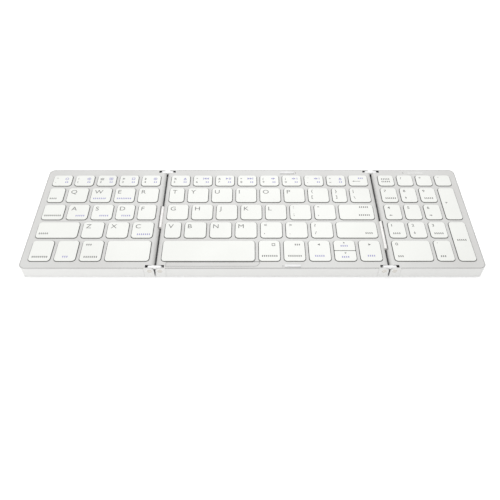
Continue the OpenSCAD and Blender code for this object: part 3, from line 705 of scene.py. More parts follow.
LEGENDS: dict[str, tuple[Legend, ...]] = {
    "left_number_keys": (
        digit("~", "`", Sign.RING), digit("!", "1", Sign.WHEEL), digit("@", "2", Sign.PANES),
        digit("#", "3", Sign.SQUARE), digit("$", "4", Sign.WHEEL),
    ),
    "left_top_letters": (
        (row(1.6, 3.0, 4),), letter("Q"), letter("W", row(2.2, 3.0, 7, Ink.LAVENDER)),
        letter("E", row(2.2, 3.0, 8, Ink.LAVENDER)), letter("R"),
    ),
    "left_home_keys": (
        (row(1.6, 3.1, 9),), letter("A", row(6.4, 2.9, 5, Ink.LAVENDER)),
        letter("S", row(6.0, 2.9, 5, Ink.LAVENDER)), letter("D", row(4.2, 2.9, 5, Ink.LAVENDER)),
        letter("F"),
    ),
    "left_shift": ((row(1.9, 3.2, 5),),),
    "left_bottom_letters": (letter("Z"), letter("X"), letter("C", row(4.0, 2.4, 7, Ink.LAVENDER))),
    "left_modifiers": (
        (row(2.2, 2.8, 8),), (row(5.4, 2.9, 3, Ink.LAVENDER),),
        (row(2.7, 2.7, 7), Mark(Corner.REAR_LEFT, 2.6, 2.9, 3)),
    ),
    "left_space": (BARE,),
    "centre_number_keys": (
        digit("%", "5", Sign.LEDGE), digit("^", "6", Sign.BACK), digit("&", "7", Sign.PLAY),
        digit("*", "8", Sign.NEXT), digit("(", "9", Sign.STEP), digit(")", "0", Sign.STEPS),
        digit("_", "-", Sign.STEPS), digit("+", "=", Sign.LEDGE),
        (
            Mark(Corner.FRONT_LEFT, 2.6, 3.9, Sign.LONG_LEFT),
            Mark(Corner.REAR_RIGHT, 3.3, 2.5, 3, Ink.LAVENDER),
        ),
    ),
    "centre_top_letters": (
        *map(letter, "TYUIOP"), pair("{", "["), pair("}", "]"), pair("|", "\\"),
    ),
    "centre_home_letters": (*map(letter, "GHJKL"), pair(":", ";"), pair('"', "'")),
    "return_key": ((Mark(Corner.REAR_RIGHT, 3.5, 1.8, 5), Mark(Corner.FRONT_RIGHT, 3.2, 3.4, 6)),),
    "centre_bottom_letters": (*map(letter, "VBNM"), pair("<", ","), pair(">", "."), pair("?", "/")),
    "right_shift": ((Mark(Corner.FRONT_RIGHT, 3.6, 3.4, 4),),),
    "centre_space": (BARE,),
    "centre_modifiers": (
        (Mark(Corner.REAR_RIGHT, 3.1, 2.5, Sign.SQUARE), row(2.1, 3.5, 8)),
        (Mark(Corner.REAR_RIGHT, 3.2, 2.9, 3), row(2.8, 3.5, 7)),
    ),
    "side_arrow_keys": (
        (Mark(Corner.REAR_LEFT, 6.2, 2.6, Sign.POINT_LEFT), row(3.9, 3.5, 5, Ink.LAVENDER)),
        (Mark(Corner.REAR_LEFT, 6.7, 2.6, Sign.POINT_RIGHT), row(5.0, 3.6, 4, Ink.LAVENDER)),
    ),
    "up_arrow": ((Mark(Corner.REAR_LEFT, 6.5, 1.2, Sign.POINT_UP), row(4.7, 3.2, 4, Ink.LAVENDER)),),
    "down_arrow": ((Mark(Corner.REAR_LEFT, 6.7, 1.5, Sign.POINT_DOWN), row(4.7, 2.6, 4, Ink.LAVENDER)),),
    "pad_top_keys": (
        (row(2.3, 3.6, 5), row(2.3, 6.4, 5)), number("/"), number("*"), number("-"),
    ),
    "pad_789": (number("7", 6), number("8", Sign.UP), number("9", 5)),
    "pad_456": (number("4", Sign.LEFT), number("5"), number("6", Sign.RIGHT)),
    "pad_123": (number("1", 4), number("2", Sign.DOWN), number("3", 5)),
    "pad_plus": ((Mark(Corner.REAR_LEFT, 2.3, 14.6, "+", height=2.4),),),
    "pad_enter": ((Mark(Corner.REAR_LEFT, 2.7, 16.2, 5),),),
    "pad_zero": (number("0", 3),),
    "pad_dot": (number(".", 3),),
}


@dataclass(frozen=True)
class CapBox:
    """Where one cap of the frame lies, in metres."""

    middle: Vector
    width: float
    length: float
    bottom: float
    top: float

    def covers(self, place: Vector) -> bool:
        """Tells whether a place lies under the cap."""
        return (
            abs(place.x - self.middle.x) < self.width / 2
            and abs(place.y - self.middle.y) < self.length / 2
        )


def welded(mesh: bpy.types.Mesh) -> bmesh.types.BMesh:
    """Copies a mesh with its corners welded.

    Args:
        mesh: the mesh, left as it is.

    Returns:
        The copy, which the caller frees.
    """
    copy = bmesh.new()
    copy.from_mesh(mesh)
    bmesh.ops.remove_doubles(copy, verts=copy.verts, dist=WELD)
    return copy


def islands(copy: bmesh.types.BMesh) -> list[list[bmesh.types.BMVert]]:
    """Splits a welded mesh into its separate solids.

    Args:
        copy: the mesh.

    Returns:
        The corners of each solid.
    """
    left = set(copy.verts)
    found = []
    for start in copy.verts:
        if start not in left:
            continue
        left.remove(start)
        stack = [start]
        group = []
        while stack:
            vertex = stack.pop()
            group.append(vertex)
            for edge in vertex.link_edges:
                other = edge.other_vert(vertex)
                if other in left:
                    left.remove(other)
                    stack.append(other)
        found.append(group)
    return found


def corners_of(vertices: Iterable[Any]) -> tuple[Vector, Vector]:
    """Measures some vertices of a mesh.

    Args:
        vertices: the vertices.

    Returns:
        The lowest and the highest corner of the box round them.
    """
    places = [vertex.co for vertex in vertices]
    low = Vector(min(place[axis] for place in places) for axis in range(3))
    high = Vector(max(place[axis] for place in places) for axis in range(3))
    return low, high


def solid_boxes(mesh: bpy.types.Mesh) -> list[tuple[Vector, Vector]]:
    """Measures the separate solids of a mesh.

    Args:
        mesh: the mesh.

    Returns:
        The lowest and the highest corner of each solid.
    """
    copy = welded(mesh)
    boxes = [corners_of(group) for group in islands(copy)]
    copy.free()
    return boxes


def cap_boxes(node: bpy.types.Object) -> list[CapBox]:
    """Measures the caps of a key node, from left to right."""
    boxes = [
        CapBox((low + high) / 2, high.x - low.x, high.y - low.y, low.z, high.z)
        for low, high in solid_boxes(node.data)
    ]
    return sorted(boxes, key=lambda box: box.middle.x)


def place_mesh(
    mesh: bpy.types.Mesh, name: str, material: bpy.types.Material | None = None
) -> bpy.types.Object:
    """Makes an object at the origin from a mesh.

    Args:
        mesh: the finished mesh.
        name: the piece's name.
        material: its one material, or None to keep what it has.

    Returns:
        The object, in the scene's collection.
    """
    if material:
        mesh.materials.clear()
        mesh.materials.append(material)
    piece = bpy.data.objects.new(name, mesh)
    bpy.context.scene.collection.objects.link(piece)
    return piece


def evaluated_mesh(source: bpy.types.Object) -> bpy.types.Mesh:
    """Gives the mesh of an object with its modifiers done.

    Args:
        source: the object.

    Returns:
        A new mesh.
    """
    graph = bpy.context.evaluated_depsgraph_get()
    graph.update()
    return bpy.data.meshes.new_from_object(source.evaluated_get(graph), depsgraph=graph)


def finish_by(piece: bpy.types.Object, kind: str, **settings: Any) -> None:
    """Gives a piece the result of one modifier.

    Args:
        piece: the piece.
        kind: Blender's type name of the modifier.
        **settings: properties of the modifier.
    """
    modifier = piece.modifiers.new(kind.lower(), kind)
    for name, value in settings.items():
        setattr(modifier, name, value)
    result = evaluated_mesh(piece)
    piece.modifiers.remove(modifier)
    piece.data = result


class PartTree:
    """Geometry Nodes tree that makes one part in one finish, with named inputs for its sizes."""

    def __init__(self, name: str, inputs: dict[str, tuple[str, float | None]]) -> None:
        """Starts the tree.

        Args:
            name: the tree's name.
            inputs: the kind of socket and the value of each named input, or None for no value.
        """
        self.tree = bpy.data.node_groups.new(name, "GeometryNodeTree")
        self.tree.is_modifier = True
        self.identifiers: dict[str, str] = {}
        for label, (kind, value) in inputs.items():
            socket = self.tree.interface.new_socket(label, in_out="INPUT", socket_type=f"NodeSocket{kind}")
            if value is not None:
                socket.default_value = value
            self.identifiers[label] = socket.identifier
        self.tree.interface.new_socket("Geometry", in_out="OUTPUT", socket_type="NodeSocketGeometry")
        self.given = add_node(self.tree, "NodeGroupInput").outputs

    def end(self, geometry: Any, material: bpy.types.Material) -> None:
        """Ends the tree in Realize Instances and Set Material.

        Args:
            geometry: the output that carries the part.
            material: its finish.
        """
        real = add_node(self.tree, "GeometryNodeRealizeInstances", {"Geometry": geometry}).outputs[0]
        finished = add_node(self.tree, "GeometryNodeSetMaterial", {"Geometry": real, "Material": material})
        add_node(self.tree, "NodeGroupOutput", {"Geometry": finished.outputs["Geometry"]})

    def run(self, start: bpy.types.Mesh, values: dict[str, Any]) -> bpy.types.Mesh:
        """Makes the part.

        Args:
            start: the mesh that carries the tree.
            values: the named inputs to set.

        Returns:
            The part's mesh.
        """
        carrier = place_mesh(start, self.tree.name)
        modifier = carrier.modifiers.new(self.tree.name, "NODES")
        modifier.node_group = self.tree
        for label, value in values.items():
            modifier[self.identifiers[label]] = value
        mesh = evaluated_mesh(carrier)
        carrier.modifiers.remove(modifier)
        bpy.data.objects.remove(carrier)
        return mesh


class CapInput(Enum):
    """The named inputs of the cap tree, in their order, each with its size in metres for a common cap."""

    WIDTH = ("Width", 0.017)
    LENGTH = ("Length", 0.0147)
    HEIGHT = ("Height", 0.0029)
    FRONT_CORNER = ("Front corner radius", 0.0022)
    REAR_CORNER = ("Rear corner radius", 0.0022)
    EDGE = ("Edge radius", 0.0002)
    WALL = ("Skirt wall", 0.0006)
    TOP = ("Top thickness", 0.001)


class CapTree(PartTree):
    """Moulds one hollow cap, its middle over the origin and its skirt on the ground."""

    EDGE_STEPS = (0.0, 0.35, 0.7, 1.0)
    CORNER_POINTS = 5

    def __init__(self, material: bpy.types.Material) -> None:
        """Lays the rings of the cap one after another, from its ceiling down the skirt and up to the top.

        Args:
            material: the finish of the cap.
        """
        super().__init__("key_cap", {item.value[0]: ("Float", item.value[1]) for item in CapInput})
        tree = self.tree
        width, length, height, front, rear, edge, wall, top, _ = self.given
        self.size = add_node(tree, "ShaderNodeCombineXYZ", {"X": width, "Y": length, "Z": 1.0}).outputs[0]
        self.outline = add_node(
            tree, "GeometryNodeInputNamedAttribute", {"Name": "outline"}, data_type="FLOAT_VECTOR"
        ).outputs["Attribute"]
        ceiling = add_node(tree, "ShaderNodeMath", {0: height, 1: top}, operation="SUBTRACT").outputs[0]
        start = self._ring(self._plan(width, length, front, rear), True, wall, ceiling)
        rings: list[tuple[Any, Any]] = [(wall, 0.0), (0.0, 0.0)]
        for share in self.EDGE_STEPS:
            inward = 1.0 - math.sqrt(1.0 - share ** 2)
            rings.append((
                add_node(tree, "ShaderNodeMath", {0: edge, 1: inward}, operation="MULTIPLY").outputs[0],
                add_node(
                    tree, "ShaderNodeMath", {0: edge, 1: share - 1.0, 2: height}, operation="MULTIPLY_ADD"
                ).outputs[0],
            ))
        mesh: Any = start
        chosen: Any = True
        for inset, rise in rings:
            grown = add_node(
                tree, "GeometryNodeExtrudeMesh", {"Mesh": mesh, "Selection": chosen, "Offset Scale": 0.0},
                mode="FACES",
            )
            chosen = grown.outputs["Top"]
            mesh = self._ring(grown.outputs["Mesh"], chosen, inset, rise)
        lid = add_node(tree, "GeometryNodeFlipFaces", {"Mesh": start}).outputs["Mesh"]
        joined = add_node(tree, "GeometryNodeJoinGeometry")
        tree.links.new(mesh, joined.inputs[0])
        tree.links.new(lid, joined.inputs[0])
        closed = add_node(
            tree, "GeometryNodeMergeByDistance", {"Geometry": joined.outputs[0], "Distance": FINE_WELD}
        ).outputs["Geometry"]
        self.end(closed, material)

    def _plan(self, width: Any, length: Any, front: Any, rear: Any) -> Any:
        """Draws the cap's outline as one face, with the place of each corner stored on it.

        Args:
            width: size from left to right.
            length: size from front to rear.
            front: radius of the two front corners.
            rear: radius of the two rear corners.

        Returns:
            The geometry.
        """
        tree = self.tree
        place = add_node(tree, "GeometryNodeInputPosition").outputs[0]
        along = add_node(tree, "ShaderNodeSeparateXYZ", {0: place}).outputs["Y"]
        at_rear = add_node(tree, "ShaderNodeMath", {0: along, 1: 0.0}, operation="GREATER_THAN").outputs[0]
        radius = add_node(tree, "ShaderNodeMix", {0: at_rear, 2: front, 3: rear}).outputs[0]
        square = add_node(
            tree, "GeometryNodeCurvePrimitiveQuadrilateral", {"Width": width, "Height": length}
        ).outputs[0]
        rounded = add_node(
            tree, "GeometryNodeFilletCurve", {"Curve": square, "Radius": radius, "Count": self.CORNER_POINTS},
            mode="POLY",
        ).outputs[0]
        face = add_node(tree, "GeometryNodeFillCurve", {0: rounded}, mode="NGONS").outputs[0]
        return add_node(
            tree, "GeometryNodeStoreNamedAttribute", {"Geometry": face, "Name": "outline", "Value": place},
            data_type="FLOAT_VECTOR", domain="POINT",
        ).outputs["Geometry"]

    def _ring(self, mesh: Any, selection: Any, inset: Any, height: Any) -> Any:
        """Moves a ring to an inset and height, by the share that the inset leaves of the cap's full size.

        Args:
            mesh: the geometry.
            selection: the face that carries the ring.
            inset: how far the ring is drawn in, as a number or an output.
            height: height of the ring above the skirt's end.

        Returns:
            The geometry.
        """
        tree = self.tree
        inward = add_node(tree, "ShaderNodeCombineXYZ", {"X": inset, "Y": inset}).outputs[0]
        left = add_node(
            tree, "ShaderNodeVectorMath", {0: inward, 1: (-2.0, -2.0, 0.0), 2: self.size},
            operation="MULTIPLY_ADD",
        ).outputs[0]
        share = add_node(
            tree, "ShaderNodeVectorMath", {0: left, 1: self.size}, operation="DIVIDE"
        ).outputs[0]
        lift = add_node(tree, "ShaderNodeCombineXYZ", {"Z": height}).outputs[0]
        position = add_node(
            tree, "ShaderNodeVectorMath", {0: self.outline, 1: share, 2: lift}, operation="MULTIPLY_ADD"
        ).outputs[0]
        return add_node(
            tree, "GeometryNodeSetPosition", {"Geometry": mesh, "Selection": selection, "Position": position}
        ).outputs["Geometry"]

    def mould(self, sizes: dict[CapInput, float]) -> bpy.types.Mesh:
        """Moulds one cap from the inputs that differ from a common cap."""
        return self.run(bpy.data.meshes.new("cap"), {item.value[0]: size for item, size in sizes.items()})


@dataclass
class KeyCaps:
    """The caps of every key node, moulded over the plain ones of the frame, with their printed legends."""

    frame: dict[str, Any]
    finishes: Finishes
    corner: float = 2.2 * MM
    half_key_corner: float = 0.6 * MM
    edge: float = 0.2 * MM
    ink_height: float = 0.012 * MM

    SLOT = "cap_white"

    def build(self) -> None:
        """Builds the caps and legends of every key node."""
        tree = CapTree(self.finishes.by_slot[self.SLOT])
        count = 0
        for node, legends in LEGENDS.items():
            boxes = cap_boxes(self.frame["nodes"][node])
            self._caps(tree, node, boxes)
            for ink in Ink:
                self._legends(node, boxes, legends, ink)
            count += len(boxes)
        LOG.info("key caps: %d caps in %d nodes", count, len(LEGENDS))

    def _caps(self, tree: CapTree, node: str, boxes: list[CapBox]) -> None:
        """Moulds the caps of one node as one piece.

        Args:
            tree: the cap tree.
            node: the CAD node that the piece replaces.
            boxes: where the caps lie.
        """
        joined = bmesh.new()
        # The two half-depth arrow keys face each other with nearly square corners.
        for box in boxes:
            mesh = tree.mould({
                CapInput.WIDTH: box.width,
                CapInput.LENGTH: box.length,
                CapInput.HEIGHT: box.top - box.bottom,
                CapInput.FRONT_CORNER: self.half_key_corner if node == "up_arrow" else self.corner,
                CapInput.REAR_CORNER: self.half_key_corner if node == "down_arrow" else self.corner,
                CapInput.EDGE: self.edge,
            })
            mesh.transform(Matrix.Translation((box.middle.x, box.middle.y, box.bottom)))
            joined.from_mesh(mesh)
            bpy.data.meshes.remove(mesh)
        result = bpy.data.meshes.new(node + "_moulded")
        joined.to_mesh(result)
        joined.free()
        piece = place_mesh(result, result.name, self.finishes.by_slot[self.SLOT])
        stand_for(piece, node, node, self.SLOT)

    def _legends(self, node: str, boxes: list[CapBox], legends: tuple[Legend, ...], ink: Ink) -> None:
        """Prints one ink's marks on the caps of a node, as one piece.

        Args:
            node: the key node.
            boxes: where its caps lie.
            legends: the legend of each cap, from left to right.
            ink: the ink to print.
        """
        printed = bmesh.new()
        for box, legend in zip(boxes, legends, strict=True):
            for mark in legend:
                if mark.ink is ink:
                    self._print(printed, box, mark)
        if printed.verts:
            bmesh.ops.remove_doubles(printed, verts=printed.verts, dist=FINE_WELD)
            mesh = bpy.data.meshes.new(f"{node}_{ink.name.lower()}_print")
            printed.to_mesh(mesh)
            piece = place_mesh(mesh, mesh.name, self.finishes.by_ink[ink])
            finish_by(piece, "SOLIDIFY", thickness=self.ink_height, offset=-1.0)
            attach(piece, node)
        printed.free()

    def _print(self, printed: bmesh.types.BMesh, box: CapBox, mark: Mark) -> None:
        """Adds one mark to a printed mesh.

        Args:
            printed: the mesh that takes it.
            box: the cap under it.
            mark: what to print, and where.
        """
        is_text = isinstance(mark.shape, str)
        mesh = character(mark.shape, mark.height * MM) if is_text else flat_sign(mark.shape)
        low, high = corners_of(mesh.vertices)
        side_x, side_y = mark.corner.value
        near_x = high.x if side_x > 0 else low.x
        near_y = high.y if side_y > 0 else low.y
        x = box.middle.x + side_x * (box.width / 2 - mark.across * MM) - near_x
        y = box.middle.y + side_y * (box.length / 2 - mark.along * MM) - near_y
        mesh.transform(Matrix.Translation((x, y, box.top + self.ink_height)))
        printed.from_mesh(mesh)
        bpy.data.meshes.remove(mesh)


def flat_sign(shape: Sign | int) -> bpy.types.Mesh:
    """Makes a flat mesh of a plain sign, or of a row of strokes.

    Args:
        shape: the sign, or the number of strokes.

    Returns:
        The mesh.
    """
    outlines = strokes(shape) if isinstance(shape, int) else shape.value
    points: list[tuple[float, float, float]] = []
    faces = []
    for outline in outlines:
        faces.append(tuple(range(len(points), len(points) + len(outline))))
        points.extend((x * MM, y * MM, 0.0) for x, y in outline)
    mesh = bpy.data.meshes.new("sign")
    mesh.from_pydata(points, [], faces)
    return mesh


def character(text: str, height: float) -> bpy.types.Mesh:
    """Makes a flat mesh of one plain character.

    Args:
        text: the character.
        height: height of a capital letter in metres.

    Returns:
        The mesh, standing on the origin.
    """
    capital_share = 0.7
    wide = 1.12
    small = 3.0 * MM
    heavier = 0.035 * MM
    curve_steps = 4
    curve = bpy.data.curves.new("character", "FONT")
    curve.body = text
    curve.size = height / capital_share
    curve.resolution_u = curve_steps
    curve.offset = 0.0 if height > small else heavier
    carrier = bpy.data.objects.new("character", curve)
    bpy.context.scene.collection.objects.link(carrier)
    mesh = evaluated_mesh(carrier)
    bpy.data.objects.remove(carrier)
    bpy.data.curves.remove(curve)
    mesh.transform(Matrix.Diagonal((wide, 1.0, 1.0, 1.0)))
    return mesh


def whole_faces(work: bmesh.types.BMesh) -> bpy.types.Mesh:
    """Turns a BMesh into a mesh with its flat faces whole.

    Args:
        work: the BMesh, freed here.

    Returns:
        The mesh.
    """
    bmesh.ops.dissolve_limit(
        work, angle_limit=FLAT_ANGLE, verts=work.verts, edges=work.edges, delimit={"NORMAL"}
    )
    mesh = bpy.data.meshes.new("form")
    work.to_mesh(mesh)
    work.free()
    return mesh


def clean_copy(
    source: bpy.types.Mesh, wanted: Callable[[Vector, Vector], bool] | None = None
) -> bpy.types.Mesh:
    """Copies a CAD mesh with its corners welded and its flat faces whole.

    Args:
        source: the CAD node's mesh, left as it is.
        wanted: picks the solids to keep by their lowest and highest corner, or None to keep all.

    Returns:
        The copy.
    """
    work = welded(source)
    if wanted:
        others = [vertex for group in islands(work) if not wanted(*corners_of(group)) for vertex in group]
        bmesh.ops.delete(work, geom=others, context="VERTS")
    return whole_faces(work)


def stand_for(piece: bpy.types.Object, node: str, body: str, slot: str) -> None:
    """Lets a finished piece stand for a CAD node and sets it on its body.

    It is shaded smooth first, with its sharp edges kept and its large faces flat to the light.

    Args:
        piece: the piece.
        node: the CAD node.
        body: the body that carries it.
        slot: the record's material slot; not used.
    """
    piece.data.shade_smooth()
    piece.data.set_sharp_from_angle(angle=math.radians(SMOOTH_DEGREES))
    finish_by(piece, "WEIGHTED_NORMAL", mode="FACE_AREA", keep_sharp=True)
    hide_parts(node)
    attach(piece, body)


def round_edges(piece: bpy.types.Object, radius: float) -> None:
    """Rounds the edges of a piece by a radius in metres."""
    finish_by(
        piece, "BEVEL", width=radius, segments=ROUNDED_FACES,
        limit_method="ANGLE", angle_limit=ROUNDED_ANGLE, use_clamp_overlap=True,
    )


class RepeatTree(PartTree):
    """Sets one original at every point of its carrier, scaled by the point's size."""

    def __init__(self, material: bpy.types.Material) -> None:
        """Builds the tree.

        Args:
            material: the finish of the repeated part.
        """
        super().__init__("repeat_part", {"Places": ("Geometry", None), "Original": ("Object", None)})
        places, original, _ = self.given
        shape = add_node(self.tree, "GeometryNodeObjectInfo", {"Object": original}).outputs["Geometry"]
        size = add_node(
            self.tree, "GeometryNodeInputNamedAttribute", {"Name": "size"}, data_type="FLOAT_VECTOR"
        ).outputs["Attribute"]
        placed = add_node(
            self.tree, "GeometryNodeInstanceOnPoints", {"Points": places, "Instance": shape, "Scale": size}
        ).outputs["Instances"]
        self.end(placed, material)

    def repeat(
        self, original: bpy.types.Object, places: list[Vector], sizes: list[Vector] | None = None
    ) -> bpy.types.Mesh:
        """Sets the original at each place.

        Args:
            original: the part to repeat.
            places: where its origin goes.
            sizes: a scale for each copy, or None where all are as large as the original.

        Returns:
            One mesh of all the copies.
        """
        points = bpy.data.meshes.new("places")
        points.from_pydata(places, [], [])
        scales = points.attributes.new("size", "FLOAT_VECTOR", "POINT")
        full_size = Vector((1.0, 1.0, 1.0))
        for item, size in zip(scales.data, sizes or [full_size] * len(places), strict=True):
            item.vector = size
        return self.run(points, {"Original": original})


def turned_solid(profile: tuple[Point, ...], sides: int) -> bpy.types.Mesh:
    """Makes a closed solid that is turned about the Z axis.

    Args:
        profile: radius and height of each ring, from the foot to the top.
        sides: corners of each ring.

    Returns:
        The mesh.
    """
    work = bmesh.new()
    turns = [math.tau * step / sides for step in range(sides)]
    rings = [
        [work.verts.new((radius * math.cos(turn), radius * math.sin(turn), height)) for turn in turns]
        for radius, height in profile
    ]
    for lower, upper in zip(rings, rings[1:]):
        for step in range(sides):
            after = (step + 1) % sides
            work.faces.new((lower[step], lower[after], upper[after], upper[step]))
    work.faces.new(rings[0][::-1])
    work.faces.new(rings[-1])
    mesh = bpy.data.meshes.new("turned")
    work.to_mesh(mesh)
    work.free()
    return mesh


@dataclass
class GivingParts:
    """What a key or a fold presses flat: scissors, domes and cable covers, a piece for each joint."""

    frame: dict[str, Any]
    finishes: Finishes
    spare: float = 0.06 * MM
    wire_height: float = 1.5 * MM
    barrel_width: float = 2.4 * MM
    barrel_keep: float = 0.5
    dome_sides: int = 24
    dome_profile: tuple[Point, ...] = (
        (1.0, 0.0), (1.0, 0.05), (0.92, 0.09), (0.84, 0.3), (0.74, 0.55),
        (0.64, 0.72), (0.6, 0.78), (0.6, 0.97), (0.56, 1.0),
    )

    NODES = (
        "left_scissors", "centre_scissors", "right_scissors",
        "left_membrane", "centre_membrane", "right_membrane", "cable_barrels",
    )

    def __post_init__(self) -> None:
        """Makes the dome that every key gets, and the tree that repeats it."""
        self.dome_tree = RepeatTree(self.finishes.by_slot[self.finishes.slot_of["centre_membrane"]])
        self.dome = place_mesh(turned_solid(self.dome_profile, self.dome_sides), "dome_original")

    def build(self) -> None:
        """Builds the parts of every panel and of both folds."""
        for panel in ("left", "centre", "right"):
            self._panel(panel)
        bpy.data.objects.remove(self.dome)
        for side in ("left", "right"):
            self._barrel(side)
        LOG.info("giving parts: made for %d nodes", len(self.NODES))

    def _panel(self, panel: str) -> None:
        """Builds the level wires and contact film of one panel, and the levers and domes of its keys.

        Args:
            panel: left, centre or right.
        """
        scissors = f"{panel}_scissors"
        membrane = f"{panel}_membrane"
        film = self.frame["nodes"][membrane].data
        heights = sorted({round(vertex.co.z, HEIGHT_DIGITS) for vertex in film.vertices})
        # The film's two faces come first, then the rings of the domes up to their flat tops.
        floor = heights[1]
        top = heights[-1]
        tips = [vertex for vertex in film.vertices if vertex.co.z > top - self.spare]
        pieces = {
            f"{panel}_level_wires": (scissors, self._wires(scissors)),
            f"{panel}_contact_film": (membrane, self._film(film, floor)),
        }
        for joint in self.frame["joints"]:
            if joint["parent"] == f"{panel}_panel" and joint["child"] in LEGENDS:
                key = joint["child"]
                boxes = cap_boxes(self.frame["nodes"][key])
                pieces[f"{key}_levers"] = (scissors, self._levers(scissors, boxes))
                pieces[f"{key}_domes"] = (membrane, self._domes(tips, boxes, floor, top))
        for name, (node, mesh) in pieces.items():
            slot = self.finishes.slot_of[node]
            piece = place_mesh(mesh, name, self.finishes.by_slot[slot])
            stand_for(piece, node, f"{panel}_panel", slot)
            if name.endswith(("_levers", "_domes")):
                self._flatten(piece)

    def _wires(self, node: str) -> bpy.types.Mesh:
        """Copies the level wires of a panel, which lie lower than its scissors are high."""
        source = self.frame["nodes"][node].data
        return clean_copy(source, lambda low, high: high.z - low.z < self.wire_height)

    def _levers(self, node: str, boxes: list[CapBox]) -> bpy.types.Mesh:
        """Copies the scissors under some caps.

        Args:
            node: the CAD node of the panel's scissors.
            boxes: the caps.

        Returns:
            The mesh.
        """
        def wanted(low: Vector, high: Vector) -> bool:
            """Picks the scissors under the caps."""
            middle = (low + high) / 2
            return high.z - low.z > self.wire_height and any(box.covers(middle) for box in boxes)

        return clean_copy(self.frame["nodes"][node].data, wanted)

    def _film(self, source: bpy.types.Mesh, floor: float) -> bpy.types.Mesh:
        """Copies the contact film of a panel without its domes.

        Args:
            source: the CAD mesh, film and domes in one.
            floor: height of the film's upper face.

        Returns:
            The mesh, closed where the domes stood.
        """
        work = welded(source)
        raised = [vertex for vertex in work.verts if vertex.co.z > floor + self.spare]
        bmesh.ops.delete(work, geom=raised, context="VERTS")
        bmesh.ops.holes_fill(work, edges=[edge for edge in work.edges if edge.is_boundary], sides=0)
        bmesh.ops.recalc_face_normals(work, faces=work.faces)
        return whole_faces(work)

    def _domes(self, tips: list[Any], boxes: list[CapBox], floor: float, top: float) -> bpy.types.Mesh:
        """Sets a rubber dome under each cap: a foot, a sloping skirt and a straight neck.

        Args:
            tips: vertices of the CAD domes' flat tops.
            boxes: the caps.
            floor: height of the contact film.
            top: height of the domes.

        Returns:
            The mesh.
        """
        neck_share = self.dome_profile[-2][0]
        places = []
        sizes = []
        for box in boxes:
            low, high = corners_of(tip for tip in tips if box.covers(tip.co))
            foot = (high.x - low.x) / 2 / neck_share
            places.append(Vector(((low.x + high.x) / 2, (low.y + high.y) / 2, floor)))
            sizes.append(Vector((foot, foot, top - floor)))
        return self.dome_tree.repeat(self.dome, places, sizes)

    def _flatten(self, piece: bpy.types.Object) -> None:
        """Looks up the key's press joint and its travel, and gives the piece its own mesh; the piece isn't
        pressed down.

        Args:
            piece: the piece, its name starting with the key's.
        """
        name = piece.name.rsplit("_", 1)[0] + "_press"
        joint = next(joint for joint in self.frame["joints"] if joint["name"] == name)
        low, high = corners_of(piece.data.vertices)
        travel = max(joint["range_m"]) + self.spare
        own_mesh(piece)

    def _barrel(self, side: str) -> None:
        """Makes the soft cable cover of one fold and sets it on the centre panel.

        Args:
            side: left or right.
        """
        slot = self.finishes.slot_of["cable_barrels"]
        left = side == "left"
        source = self.frame["nodes"]["cable_barrels"].data
        mesh = clean_copy(source, lambda low, high: (high.x < 0.0) == left)
        piece = place_mesh(mesh, f"{side}_cable_barrel", self.finishes.by_slot[slot])
        stand_for(piece, "cable_barrels", "centre_panel", slot)
        low, high = corners_of(piece.data.vertices)
        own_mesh(piece)


@dataclass
class PlainForms:
    """Smooth copies of the rigid CAD forms. Screws and feet are made once and repeated."""

    frame: dict[str, Any]
    finishes: Finishes
    radii_mm: dict[str, float] = field(default_factory=lambda: {
        "centre_deck": 0.12, "left_deck": 0.12, "right_deck": 0.12,
        "left_links": 0.25, "right_links": 0.25,
        "bumper_pads": 0.35, "indicator_window": 0.1,
        "centre_pins": 0.15, "left_pins": 0.15, "right_pins": 0.15,
        "power_slider": 0.2,
    })
    repeated_radii_mm: dict[str, float] = field(default_factory=lambda: {
        "centre_feet": 0.25, "left_feet": 0.25, "right_feet": 0.25,
        "centre_screws": 0.06, "left_screws": 0.06, "right_screws": 0.06,
    })

    def build(self) -> None:
        """Makes the copy of each form and lets it stand for its CAD node."""
        behaviour = self.frame["record"]["behaviour"]["bodies"]
        body_of = {node: body for body, nodes in behaviour.items() for node in nodes}
        others = (*LEGENDS, *GivingParts.NODES)
        plain = {node: slot for node, slot in self.finishes.slot_of.items() if node not in others}
        for node, slot in plain.items():
            make = self._repeated if node in self.repeated_radii_mm else self._single
            stand_for(make(node, self.finishes.by_slot[slot]), node, body_of[node], slot)
        LOG.info("plain forms: %d pieces, %d of repeated parts", len(plain), len(self.repeated_radii_mm))

    def _single(self, node: str, material: bpy.types.Material) -> bpy.types.Object:
        """Makes the copy of a form that isn't repeated.

        Args:
            node: the CAD node.
            material: its finish.

        Returns:
            The piece.
        """
        piece = place_mesh(clean_copy(self.frame["nodes"][node].data), node + "_smooth", material)
        if node in self.radii_mm:
            round_edges(piece, self.radii_mm[node] * MM)
        return piece

    def _repeated(self, node: str, material: bpy.types.Material) -> bpy.types.Object:
        """Makes the first part of a node and sets it at the place of every other one.

        Args:
            node: the CAD node, whose solids are all alike.
            material: its finish.

        Returns:
            The piece.
        """
        source = self.frame["nodes"][node].data
        boxes = solid_boxes(source)
        places = [(low + high) / 2 for low, high in boxes]
        first = clean_copy(source, lambda low, high: (low, high) == boxes[0])
        first.transform(Matrix.Translation(-places[0]))
        original = place_mesh(first, node + "_original", material)
        round_edges(original, self.repeated_radii_mm[node] * MM)
        repeated = RepeatTree(material).repeat(original, places)
        bpy.data.objects.remove(original)
        return place_mesh(repeated, node + "_repeated", material)


def hang(name: str, data: bpy.types.ID, place: Vector, target: Vector) -> bpy.types.Object:
    """Hangs a lamp or a camera.

    Args:
        name: its name.
        data: Blender's data of the lamp or camera.
        place: where it hangs.
        target: the point that it faces.

    Returns:
        The object.
    """
    item = bpy.data.objects.new(name, data)
    item.location = place
    item.rotation_euler = (target - place).to_track_quat("-Z", "Y").to_euler()
    bpy.context.scene.collection.objects.link(item)
    return item


